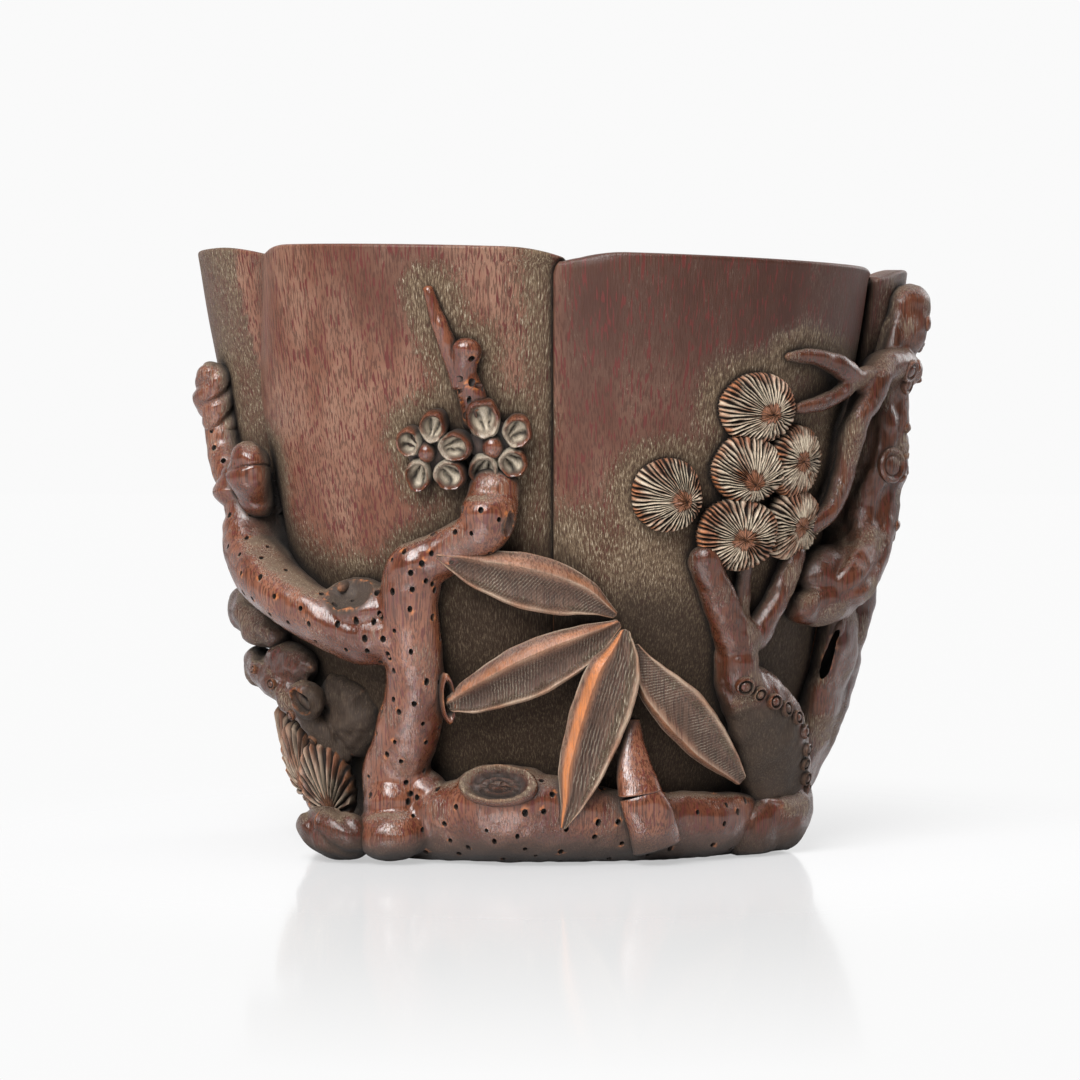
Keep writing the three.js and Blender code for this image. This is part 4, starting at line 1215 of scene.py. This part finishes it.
class BuildPrunus(bpy.types.Operator):
    """Builds the prunus: root, trunk and branches with worm holes, twigs, blossoms and buds"""

    bl_idname = "libation_cup.prunus"
    bl_label = "Prunus"

    def execute(self, context):
        wall = Wall(context.scene.cup_sizes)
        bowl = wall.frame(-37, 46.2, 6.4, (-30, 0))
        dark_eye = wall.frame(-6.6, 55.4, 5.2, (0, 40))
        dark_slit = wall.frame(-20.4, 27.4, 5.2, (0, 40))
        # Painted shade fills the bowl, the eye and the slit
        hollows = [(bowl.translation, 5.2), (dark_eye.translation, 2.0), (dark_slit.translation, 1.6)]
        dust_stain_and_shade = dust_stain_and_painted_shade(wall, 0.6, 4.0, 0.95, 0.85, hollows, patches=0.3)
        limbs = {
            name: Limb(wall, stops, radius, flat, carve=gnarled(0.4, 5.0, k))
            for k, (name, (radius, flat, stops)) in enumerate(PRUNUS.items())
        }
        parts = [limb.mesh(36, 0.5) for limb in limbs.values()]
        # Swellings: bearing, level, lift, radii, and how uneven, by how broad a grain and which seed
        swellings = (
            (-31, 10.5, 3.6, (4.4, 4.4, 3.4), 0.3, 4.0, 2.0),
            (-10.5, 12.4, 4.4, (7.6, 3.4, 4.6), 0.4, 4.0, 3.0),
            (-37.5, 42, 2.8, (6.4, 4.0, 4.6), 0.3, 3.0, 4.0),
            (-36, 5.6, 6.6, (5.6, 4.3, 6.4), 0.2, 4.0, 5.0),
            (-36.5, 9.5, 4.6, (4.6, 5.5, 5.2), 0.2, 4.0, 5.5),
        )
        for bearing, level, lift, radii, *uneven in swellings:
            parts.append(lump(wall.frame(bearing, level, lift), radii, *uneven))
        wood = grown_together(parts, 0.32, 8)
        knot_place = Skin(wall, wood).place(-10.8, 13.8)
        holes = [
            lump(bowl, (4.9, 3.7, 3.4), 0.4, 1.5, 6.0, 32),
            lump(dark_eye, (1.1, 2.3, 1.9), 0.1, 1.0, 7.0, 20),
            lump(dark_slit, (0.55, 3.1, 1.6), 0.1, 1.0, 8.0, 24),
            lump(knot_place, (4.6, 2.4, 1.6), 0.2, 1.0, 8.5, 32),
        ]
        wood = weathered(cut(wood, holes), 0.12, 1.7, 9.0)
        wood = worm_holes(wood, limbs.values(), 3.1, 11)
        knot = [(0, -0.5), (0.2, -0.3), (0.3, -0.7), (0.42, -0.4), (0.55, -0.9), (0.68, -0.6), (0.8, 0.25)]
        knot += [(0.88, 0.5), (0.95, 0.42), (1.0, 0.05), (0.97, -1.6), (0, -1.6)]

        def chipped(share, turn, height):
            chip = rough((share * 3, 4 * math.cos(turn), 4 * math.sin(turn)), 0.8, 8.0)
            # The lowest places darken through the cut mark: the deepest ring, and the sides under the rim as
            # painted shade
            return 0.3 * chip, 0.0, 0.75 * (1 - smooth(height, -0.7, 0.1)), 0.9 * smooth(height, -0.2, 0.4)

        lips = [(0.62, -0.9), (0.7, 0.1), (0.8, 0.4), (0.9, 0.38), (1.0, 0.0), (0.95, -1.2)]
        extras = [
            dish(knot_place, (5.6, 3.0), knot, 64, chipped),
            dish(wall.frame(-20.2, 27.4, 4.9, (0, 38)), (1.0, 3.7), lips, 36),
            lump(wall.frame(-39.4, 45.4, 3.4), (0.8, 0.8, 1.6), 0.05, 1.0, 9.0, 16),
        ]
        wood = joined([wood, *extras])
        add_piece(
            context, "prunus_wood", wood, "bamboo_rubbed_prunus", [*PRUNUS, "prunus_knot"], dust_stain_and_shade
        )
        for k, (name, (radius, stops)) in enumerate(TWIGS.items()):
            twig = Limb(wall, stops, radius, carve=gnarled(0.15, 1.6, k), ends=(0.6, 0.9))
            skin = twig.mesh(28, 0.25)
            if name == "prunus_stub":
                skin = worm_holes(skin, [twig], 1.9, 5)
            add_piece(
                context, name, skin, "bamboo_rubbed_prunus", [name], dust_stain_and_painted_shade(wall, 0.2, 1.0, 0.8, 0.2)
            )
        for name, blossom in BLOSSOMS.items():
            skin = blossom_mesh(wall, *blossom)
            dusty = dust_stain_and_painted_shade(wall, 0.6, 2.2, 0.9)
            add_piece(context, name, skin, "bamboo_rubbed_prunus", [name], dusty, rubbed=0.3)

        def seam(distance, turn, half):
            cleft = -0.7 * math.exp(-(((turn - 1.95 - 0.05 * distance) / 0.2) ** 2))
            return cleft - 0.3 * math.exp(-(((distance - 4.4 - 1.6 * math.cos(turn)) / 0.2) ** 2))

        def furled(distance, turn, half):
            return -0.5 * (0.5 + 0.5 * math.cos(distance * 1.5 + turn * 3)) ** 3

        buds = {
            "plum_bud_lower": (
                [(-64, 59.4, 0.95, 0.2), (-62.8, 62.6, 1.2, 0.25), (-61.6, 65.6, 1.05, 0.2)], seam
            ),
            "plum_bud_upper": ([(-80.6, 72.2, 0.9), (-80, 76.2, 1.02), (-78.4, 79.6, 0.85)], furled),
        }
        for name, (stops, carve) in buds.items():
            bud = [weathered(Limb(wall, stops, 2.8, carve=carve).mesh(44, 0.18), 0.12, 1.4, 3.0)]
            if name == "plum_bud_lower":
                sepal = [(-69.8, 57.4, 0.9, 0.5), (-71, 60.6, 1.1, 0.6), (-70.6, 63.2, 0.75, 0.55)]
                bud.append(Limb(wall, sepal, 2.1, carve=gnarled(0.25, 1.5, 4)).mesh(28, 0.25))
            add_piece(context, name, joined(bud), "bamboo_rubbed_prunus", [name], dust_stain_and_shade)
        return {"FINISHED"}


class BuildBambooSprig(bpy.types.Operator):
    """Builds the bamboo sprig: hollowed leaves with fine lines, and a jointed culm"""

    bl_idname = "libation_cup.bamboo_sprig"
    bl_label = "Bamboo sprig"

    def execute(self, context):
        wall = Wall(context.scene.cup_sizes)
        dust_stain_and_shade = dust_stain_and_painted_shade(wall, 0.4, 2.2, 0.6)
        for name, (form, stops) in {**LEAVES, **BACK_LEAVES}.items():
            leaf = Limb(wall, stops, 1.0, 0.62, form.section, form.carve, 0.4, (0.8, 0.8), form.marks)
            add_piece(
                context, name, leaf.mesh(88, 0.2), "bamboo_carved_leaves", [name], dust_stain_and_shade,
                sharp=35, rubbed=0.25,
            )
        for k, (name, stops) in enumerate(CULMS.items()):
            culm = Limb(wall, stops, 1.0, 0.7, rounded_flat, gnarled(0.12, 2.5, k), 0.4, (0.12, 0.12))
            add_piece(
                context, name, culm.mesh(56, 0.2), "bamboo_rubbed_prunus", [name], dust_stain_and_shade,
                sharp=35,
            )
        return {"FINISHED"}


class BuildPine(bpy.types.Operator):
    """Builds the pine: needle pads, old trunk and root, twigs, stems and the scaly stump"""

    bl_idname = "libation_cup.pine"
    bl_label = "Pine"

    def execute(self, context):
        wall = Wall(context.scene.cup_sizes)
        dust_stain_and_shade = dust_stain_and_painted_shade(wall, 0.5, 2.6, 0.75, 0.6, stain=0.12, patches=0.6)

        def shouldered(distance, turn, half):
            """Two growths of the old trunk overlap: a step runs slantwise round it."""
            step = smooth(distance - 2.5 * math.cos(turn), 16.0, 17.2)
            fold = (0.5 + 0.5 * math.cos(5 * turn + 1.4 * math.sin(0.3 * distance) + 0.6)) ** 7
            return gnarled(0.5, 3.6, 20)(distance, turn, half) - 0.55 * (1 - step) - 0.75 * fold

        limbs = {
            name: Limb(wall, stops, radius, carve=gnarled(0.13 * radius, 3.2, 20 + k))
            for k, (name, (radius, stops)) in enumerate({**PINE, **STUMP}.items())
        }
        limbs["pine_trunk"].carve = shouldered
        lobe = Limb(
            wall, [(71, 43.6, 1.0, 0.1), (63, 42.4, 1.15, 0.12), (55, 41.9, 0.9)], 3.0,
            carve=gnarled(0.3, 3.0, 31),
        )
        inner = Limb(
            wall, [
                (73, 42, 0.8, 0.1), (75.5, 38, 1.0, 0.2), (79, 33.4, 1.0, 0.3), (79.5, 29.4, 0.8, 0.25),
                (79, 23, 0.5),
            ], 1.7, carve=gnarled(0.15, 3.0, 32),
        )
        apron = Limb(
            wall, [
                (74, 43, 0.6), (77, 36, 0.9), (79.5, 28, 1.0), (80, 19, 1.0), (77, 10, 0.95), (73, 5, 0.8),
            ], 5.2, 0.6, carve=gnarled(0.4, 4.0, 33),
        )
        foot = Limb(
            wall, [(66, 12, 0.7), (65, 8.6, 0.95), (62, 5.4, 1.05), (56, 3.6, 0.9)], 5.8, 0.85,
            carve=gnarled(0.3, 5.0, 34),
        )
        shoulder = lump(wall.frame(63, 46.4, 1.6), (6.4, 4.6, 3.8), 0.4, 3.5, 38.0)
        parts = [limbs[name].mesh(32, 0.5) for name in PINE]
        parts += [lobe.mesh(28, 0.4), inner.mesh(28, 0.4), apron.mesh(36, 0.5), foot.mesh(36, 0.5), shoulder]
        wood = grown_together(parts, 0.3, 3)
        slot = lump(wall.frame(73.5, 32.4, 2.9), (2.8, 7.2, 1.25), 0.05, 2.0, 39.0, 40)
        wood = weathered(weathered(cut(wood, [slot]), 0.14, 1.6, 35.0), 0.3, 4.5, 36.0)
        skin = Skin(wall, wood)
        marks = [
            scale_ring(skin.place(*spot, 0.25), size, 0.6)
            for *spot, size in ((71.8, 64.9, 2.6), (73.2, 80.6, 1.7), (75.4, 78.4, 1.5))
        ]
        chance = random.Random(36)
        for k in range(26):
            bearing, level = chance.uniform(74, 92), 88 - 1.6 * k + chance.uniform(-1, 1)
            spot = skin.place(bearing, level, 0.15, chance.uniform(0, 90))
            radii = (chance.uniform(0.7, 1.3), chance.uniform(0.5, 0.9), 0.55)
            marks.append(lump(spot, radii, 0.2, 0.8, k, 12))
        wood = joined([wood, *marks])
        add_piece(context, "pine_wood", wood, "bamboo_carved_pine", [*PINE], dust_stain_and_shade, rubbed=0.35)

        body = Limb(
            wall, [
                (37, 34, 0.5), (39.5, 30, 0.72), (45, 25.6, 0.95), (51, 20.6, 1.08), (57, 15, 1.12),
                (63, 9, 1.05),
            ], 4.7, 0.8, carve=gnarled(0.5, 3.5, 33),
        )
        parts = [limbs[name].mesh(28, 0.4) for name in STUMP] + [body.mesh(40, 0.5)]
        wood = weathered(grown_together(parts, 0.26, 4), 0.14, 1.4, 37.0)
        skin = Skin(wall, wood)
        scales = ((38, 29.2, 1.4), (41.6, 27.8, 1.15), (45.2, 26.4, 1.2), (49.2, 25, 1.2), (53.2, 23.4, 1.1))
        scales += ((57, 20.9, 1.1), (58.8, 17.8, 1.0), (60, 15.4, 1.0), (62.4, 12.8, 1.1), (65.5, 10.6, 1.1))
        marks = [scale_ring(skin.place(bearing, level, 0.1), size, 0.9) for bearing, level, size in scales]
        # Painted shade over the concave face of the body below the scales
        face = [(wall.frame(46, 19, 5).translation, 8.0), (wall.frame(54, 14, 5).translation, 7.0)]
        dusky = dust_stain_and_painted_shade(wall, 0.5, 2.6, 0.75, 0.7, face, stain=0.2, patches=0.55)
        add_piece(
            context, "pine_stump_wood", joined([wood, *marks]), "bamboo_carved_pine", [*STUMP], dusky,
            rubbed=0.15,
        )

        pads = {**PADS, **BACK_PADS, **LEFT_PADS}
        for k, (name, (bearing, level, lift, radii, hub, tilt)) in enumerate(pads.items()):
            place = wall.frame(bearing, level, lift, tilt)
            if name in LEFT_PADS:
                skin, dark = pad_mesh(place, radii, hub, 20, 2.8, 1.7, 0.6, k, 0.4), 0.4
            else:
                skin, dark = pad_mesh(place, radii, hub, 44 + k % 3, seed=k), 0.0
            dusty = dust_stain_and_painted_shade(wall, 0.4, 1.2, 0.4, stain=dark)
            add_piece(context, name, skin, "bamboo_cut_needles", [name], dusty, rubbed=0.3)
        return {"FINISHED"}


class BuildLeftEnd(bpy.types.Operator):
    """Builds the left end: a gnarled branch with a hollow stub, a rock and a swirled knob"""

    bl_idname = "libation_cup.left_end"
    bl_label = "Left end"

    def execute(self, context):
        wall = Wall(context.scene.cup_sizes)
        # Painted shade over the dome and in the gap under the branch's end
        gap = [(wall.frame(-48.5, 23, 3).translation, 8.5), (wall.frame(-60, 17, 2).translation, 5.0)]
        dust_stain_and_shade = dust_stain_and_painted_shade(wall, 0.5, 2.8, 0.75, 0.8, gap, stain=0.35, patches=0.5)

        def swirl(distance, turn, half):
            return -0.5 * (0.5 + 0.5 * math.cos(3.2 * turn + 1.3 * distance)) ** 3

        knob = Limb(
            wall, [(-49, 4.8, 0.98, 1.75), (-47.6, 4.7, 1.0, 1.8), (-46, 4.7, 0.98, 1.75)], 3.8, 1.05,
            carve=swirl,
        )
        skin = weathered(knob.mesh(64, 0.2), 0.15, 1.6, 40.0)
        add_piece(context, "foot_knob", skin, "bamboo_carved_pine", ["foot_knob"], dust_stain_and_shade)

        branch = Limb(
            wall, [
                (-101, 30.4, 0.5, -0.1), (-94, 30.8, 0.75, 0.15), (-87, 30.8, 0.85, 0.35),
                (-80, 30, 0.98, 0.4), (-70, 28, 0.98, 0.42), (-62.8, 25, 0.9, 0.42),
                (-58, 21.4, 0.85, 0.4), (-55, 17, 0.7, 0.3),
            ], 2.6, carve=gnarled(0.55, 2.6, 41),
        )
        nub = lump(wall.frame(-84.5, 30.4, 4.2), (2.6, 3.1, 2.6), 0.3, 1.5, 42.0)
        dome = lump(wall.frame(-52.6, 23.4, -0.4), (6.2, 6.2, 3.2), 0.6, 2.0, 50.0)
        shelf = lump(wall.frame(-68, 31.4, 1.8), (7.5, 3.2, 3.0), 0.5, 2.5, 43.0)
        fork = lump(wall.frame(-55.6, 26.2, 4.9, (-15, 0), -48), (3.3, 2.3, 2.4), 0.3, 1.5, 44.0)
        wood = grown_together([branch.mesh(32, 0.45), nub, dome, shelf, fork], 0.24, 2)
        slit = lump(wall.frame(-59.4, 26.8, 6.8, (0, 0), -62), (2.6, 0.75, 2.0), 0.15, 1.0, 45.0, 24)
        mouth = lump(wall.frame(-54.8, 26, 7.3, (-15, 10), -48), (2.3, 1.3, 2.2), 0.15, 1.0, 46.0, 24)
        wood = weathered(weathered(cut(wood, [slit, mouth]), 0.18, 1.3, 47.0), 0.4, 3.4, 58.0)
        skin = Skin(wall, wood)
        peg = Limb(wall, [(-57.6, 28, 0.9, 1.0), (-56, 26.4, 1.05, 1.05), (-54.4, 24.8, 1.1, 1.0)], 0.75, 1.0)
        marks = [peg.mesh(20, 0.2)]
        scales = ((-66, 28.4, 0.85), (-61.4, 23.4, 0.8), (-57.6, 19.4, 0.8), (-74, 30.4, 0.7))
        for bearing, level, size in scales:
            marks.append(scale_ring(skin.place(bearing, level, 0.1), size, 0.5))
        wood = joined([wood, *marks])
        name = "left_pine_branch"
        add_piece(context, name, wood, "bamboo_carved_pine", [name], dust_stain_and_shade, rubbed=0.3)
        rock = Limb(
            wall, [
                (-102, 42, 0.4, -0.3), (-95, 41.4, 0.7, -0.05), (-88, 40.4, 0.88, 0.15),
                (-80, 38, 0.95, 0.15), (-73, 36.4, 0.75, 0.05),
            ], 3.4, 0.95, carve=gnarled(0.6, 2.8, 48),
        )
        skin = weathered(weathered(rock.mesh(40, 0.3), 0.18, 1.3, 49.0), 0.5, 3.0, 59.0)
        add_piece(context, "left_rock", skin, "bamboo_carved_pine", ["left_rock"], dust_stain_and_shade)
        return {"FINISHED"}


class BuildBack(bpy.types.Operator):
    """Builds the back: the prunus root running on, a flowering branch, a pine branch and a rock"""

    bl_idname = "libation_cup.back"
    bl_label = "Back"

    def execute(self, context):
        wall = Wall(context.scene.cup_sizes)
        dust_stain_and_shade = dust_stain_and_painted_shade(wall, 0.6, 4.0, 0.95, 0.75)
        root = Limb(
            wall, [(257, 5.6, 0.75), (245, 6.2, 1.05), (220, 6.6, 1.15), (195, 5.8, 1.0), (178, 5, 0.75)],
            ROOT_RADIUS, 0.9, carve=gnarled(0.45, 5.0, 51),
        )
        branch = Limb(
            wall, [
                (238, 8, 1.2), (232, 15, 1.05), (228, 24, 1), (221, 34, 0.95), (218, 44, 0.85),
                (221, 56, 0.7),
            ], 3.2, carve=gnarled(0.4, 4.0, 52),
        )
        wood = weathered(grown_together([root.mesh(36, 0.5), branch.mesh(32, 0.5)], 0.34, 6), 0.12, 1.7, 55.0)
        wood = worm_holes(wood, [root, branch], 2.9, 12)
        names = ["prunus_root_back", "prunus_branch_back"]
        add_piece(context, "prunus_wood_back", wood, "bamboo_rubbed_prunus", names, dust_stain_and_shade)
        bough = Limb(
            wall, [
                (80, 66, 1.3), (86, 68, 1.35), (92, 67.4, 1.3), (97, 65.4, 1.2), (102, 63.6, 1.1),
                (109, 64.6, 1.15), (115, 60.8, 1.0), (123, 61.4, 0.95), (134, 56, 0.75),
            ], 2.0, carve=gnarled(0.4, 2.4, 53),
        )
        twigs = [
            Limb(wall, [(100, 64.6, 1.1), (106, 69, 0.95), (113, 71.4, 0.9), (119, 71.6, 0.6)], 1.25),
            Limb(wall, [(116, 61, 1.0), (122, 64.4, 0.95), (130, 65.6, 0.85), (136, 66, 0.6)], 1.25),
            Limb(wall, [(112, 62, 1.0), (116, 56.6, 0.9), (121, 52.4, 0.8), (122, 48, 0.45)], 1.2),
        ]
        parts = [bough.mesh(32, 0.4)] + [twig.mesh(24, 0.35) for twig in twigs]
        skin = weathered(grown_together(parts, 0.28, 4), 0.14, 1.4, 56.0)
        add_piece(context, "pine_branch_back", skin, "bamboo_carved_pine", ["pine_branch_back"], dust_stain_and_shade)
        rock = Limb(
            wall, [(104, 6, 0.9), (122, 6.4, 1.1), (142, 5.6, 1), (162, 5, 0.75)], 3.6,
            carve=gnarled(0.8, 5.0, 54),
        )
        crags = [
            lump(wall.frame(bearing, level, lift), radii, 0.7, 2.2, bearing)
            for bearing, level, lift, radii in (
                (110, 9.5, 3.4, (4.6, 4.2, 3.4)), (121, 11.5, 2.8, (4.0, 5.0, 3.4)),
                (131, 8.5, 3.6, (4.8, 3.8, 3.2)), (144, 9, 2.6, (4.4, 3.6, 3.0)),
            )
        ]
        skin = weathered(grown_together([rock.mesh(44, 0.45), *crags], 0.3, 3), 0.16, 1.5, 57.0)
        add_piece(context, "rock_back", skin, "bamboo_carved_pine", ["rock_back"], dust_stain_and_shade)
        return {"FINISHED"}


class BuildVessel(bpy.types.Operator):
    """Builds the petalled vessel, dark between the carving, dusty round it and polished above it"""

    bl_idname = "libation_cup.vessel"
    bl_label = "Vessel"

    def execute(self, context):
        sizes = context.scene.cup_sizes
        wall = Wall(sizes)
        carving = []
        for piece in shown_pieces():
            if piece.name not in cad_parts:
                carving += [vert.co.copy() for vert in list(piece.data.vertices)[::9]]
        near = KDTree(len(carving))
        for k, spot in enumerate(carving):
            near.insert(spot, k)
        near.balance()
        bearings, heights = zip(*SHADE_LINE)

        def dust_stain_and_shade(spot, normal):
            bearing = wall.bearing(spot)
            index, across = wall.petal(bearing)
            # Inside the cup: a little dust, a stain, and painted shade that deepens towards the floor
            if wall.off(spot) < -1.8 and spot[2] > 1:
                return 0.25, 0.4 * (1 - smooth(spot[2], 20, 60)), 0.3
            close = near.find(Vector(spot) * MM)[2] / MM
            line = np.interp(bearing, bearings, heights)
            above = spot[2] - line + 3 * rough(spot, 8.0, 60.0)
            dust = 0.95 * (1 - smooth(close, 0.8, 5.5))
            dust = max(dust, 0.85 * (1 - smooth(above, 4, 16)))
            if index == 0:
                dust = max(dust, 0.8 * smooth(across, 0.72, 0.95))
            if index == 1:
                dust *= 1 - 0.6 * smooth(across, 0.86, 0.96)
            if index == 2:
                dust *= 0.4
            if index == 4:
                dust = max(dust, 0.55)
            shade = 0.92 * (1 - smooth(above, -6, 3))
            # The right side's stain is partly stain and partly painted shade of the side the key light leaves
            # darker
            right_side = smooth(bearing, -4, 4) * (1 - smooth(bearing, 80, 110))
            left_patch = smooth(bearing, -50, -25) * (1 - smooth(bearing, -22, -8))
            stain = mix(0.35, 0.8, smooth(spot[2], 50, 78)) * right_side
            stain = max(stain, 0.5 * smooth(across, 0.9, 1.0), 0.35 if index == 4 else 0.0)
            stain = max(stain, 0.45 * smooth(spot[2], 66, 80) * left_patch)
            return dust, shade, stain

        add_piece(
            context, "petalled_vessel", vessel_mesh(wall, sizes), "bamboo_polished_wall", ["cup_body"],
            dust_stain_and_shade, sharp=34, rubbed=0.3,
        )
        return {"FINISHED"}


class BuildStage(bpy.types.Operator):
    """Sets the pale floor, the soft light and the camera"""

    bl_idname = "libation_cup.stage"
    bl_label = "Stage"

    def execute(self, context):
        scene = context.scene
        stage = scene.cup_stage
        bm = bmesh.new()
        bmesh.ops.create_grid(bm, x_segments=2, y_segments=2, size=3.0)
        mesh = bpy.data.meshes.new("pale_floor")
        bm.to_mesh(mesh)
        bm.free()
        floor = bpy.data.objects.new("pale_floor", mesh)
        context.collection.objects.link(floor)
        floor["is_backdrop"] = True
        # Sealed white stone: a bright matt ground with a weak, slightly blurred reflection
        material = bpy.data.materials.new("sealed_white_stone")
        material.use_nodes = True
        tree = material.node_tree
        matt = tree.nodes["Principled BSDF"]
        matt.inputs["Base Color"].default_value = (*stage.floor, 1.0)
        matt.inputs["Roughness"].default_value = 0.6
        matt.inputs["Specular IOR Level"].default_value = 0.0
        gloss = add_node(tree, "ShaderNodeBsdfGlossy", None, Color=(1.0, 1.0, 1.0, 1.0), Roughness=0.1)
        # Away from the cup the floor runs out into the white background
        where = add_node(tree, "ShaderNodeTexCoord").outputs["Object"]
        away = add_node(tree, "ShaderNodeVectorMath", {"operation": "LENGTH"}, i0=where).outputs["Value"]
        far = add_node(
            tree, "ShaderNodeMapRange", {"interpolation_type": "SMOOTHSTEP"},
            Value=away, From_Min=0.03, From_Max=0.12, To_Min=0.66,
        )
        seen = add_node(tree, "ShaderNodeLightPath").outputs["Is Camera Ray"]
        share = add_node(tree, "ShaderNodeMath", {"operation": "MULTIPLY"}, i0=far.outputs["Result"], i1=seen)
        white = add_node(tree, "ShaderNodeEmission", None, Color=(0.96, 0.96, 0.96, 1.0), Strength=1.0)
        mixed = add_node(
            tree, "ShaderNodeMixShader", None, Fac=share.outputs[0], i1=matt.outputs[0], i2=white.outputs[0]
        )
        polish = add_node(
            tree, "ShaderNodeMapRange", None,
            Value=away, From_Min=0.08, From_Max=0.19, To_Min=0.24, To_Max=0.0,
        ).outputs["Result"]
        whole = add_node(
            tree, "ShaderNodeMixShader", None, Fac=polish, i1=mixed.outputs[0], i2=gloss.outputs[0]
        )
        tree.links.new(whole.outputs[0], tree.nodes["Material Output"].inputs["Surface"])
        mesh.materials.append(material)

        world = bpy.data.worlds.new("white_studio")
        world.use_nodes = True
        tree = world.node_tree
        path = add_node(tree, "ShaderNodeLightPath")
        # White paper stands behind the cup and the room before it is dim, which the polish shows
        where = add_node(tree, "ShaderNodeTexCoord").outputs["Generated"]
        way = add_node(tree, "ShaderNodeSeparateXYZ", None, Vector=where)
        paper = add_node(
            tree, "ShaderNodeMapRange", {"interpolation_type": "SMOOTHSTEP"}, Value=way.outputs["Y"],
            From_Min=-0.3, From_Max=0.6, To_Min=0.07, To_Max=1.0,
        ).outputs["Result"]
        mirrored = add_node(
            tree, "ShaderNodeMath", {"operation": "MULTIPLY"}, i0=path.outputs["Is Glossy Ray"], i1=paper
        )
        seen = add_node(
            tree, "ShaderNodeMath", {"operation": "MAXIMUM"},
            i0=path.outputs["Is Camera Ray"], i1=mirrored.outputs[0],
        )
        level = add_node(tree, "ShaderNodeMapRange", None, Value=seen.outputs[0], To_Min=0.12, To_Max=1.0)
        back = tree.nodes["Background"]
        back.inputs["Color"].default_value = (0.955, 0.955, 0.955, 1.0)
        tree.links.new(level.outputs["Result"], back.inputs["Strength"])
        scene.world = world

        lamps = {
            "key_softbox": ((-0.29, -0.71, 0.6), 0.55, 13.2),
            "rim_softbox": ((0.6, 0.4, 0.35), 0.4, 2.0),
            "top_softbox": ((0.05, -0.05, 0.8), 0.8, 2.6),
        }
        for name, (spot, size, power) in lamps.items():
            lamp = bpy.data.lights.new(name, "AREA")
            lamp.shape = "SQUARE"
            lamp.size = size
            lamp.energy = power
            holder = bpy.data.objects.new(name, lamp)
            holder.location = spot
            aim = Vector((0, 0, 0.045)) - Vector(spot)
            holder.rotation_euler = aim.to_track_quat("-Z", "Y").to_euler()
            context.collection.objects.link(holder)

        camera = bpy.data.cameras.new("camera")
        camera.lens = stage.lens
        camera.sensor_width = 36.0
        camera.clip_start = 0.01
        holder = bpy.data.objects.new("camera", camera)
        holder.location = (-0.0018, -stage.camera_distance, stage.camera_height)
        holder.rotation_euler = (math.pi / 2 - stage.camera_tilt, 0.0, 0.0)
        context.collection.objects.link(holder)
        scene.camera = holder
        scene.view_settings.view_transform = "Standard"
        return {"FINISHED"}


class CupPanel(bpy.types.Panel):
    """Lists the cup's pieces and its sizes and colours"""

    bl_idname = "VIEW3D_PT_libation_cup"
    bl_label = "Libation Cup"
    bl_space_type = "VIEW_3D"
    bl_region_type = "UI"
    bl_category = "Libation Cup"

    def draw(self, context):
        for build in BUILDERS:
            self.layout.operator(build.bl_idname)
        for group in (context.scene.cup_sizes, context.scene.cup_colours, context.scene.cup_stage):
            box = self.layout.box()
            for key in group.__annotations__:
                box.prop(group, key)


GROUPS = {"cup_sizes": CupSizes, "cup_colours": CupColours, "cup_stage": StageSettings}
BUILDERS = (
    BuildFinishes,
    BuildPrunus,
    BuildBambooSprig,
    BuildPine,
    BuildLeftEnd,
    BuildBack,
    BuildVessel,
    BuildStage,
)


def register():
    for made in (*GROUPS.values(), *BUILDERS, CupPanel):
        bpy.utils.register_class(made)
    for key, group in GROUPS.items():
        setattr(bpy.types.Scene, key, PointerProperty(type=group))


def unregister():
    for key in GROUPS:
        delattr(bpy.types.Scene, key)
    for made in reversed((*GROUPS.values(), *BUILDERS, CupPanel)):
        bpy.utils.unregister_class(made)


def main():
    register()
    for build in BUILDERS:
        group, name = build.bl_idname.split(".")
        getattr(getattr(bpy.ops, group), name)()


if __name__ == "__main__":
    main()
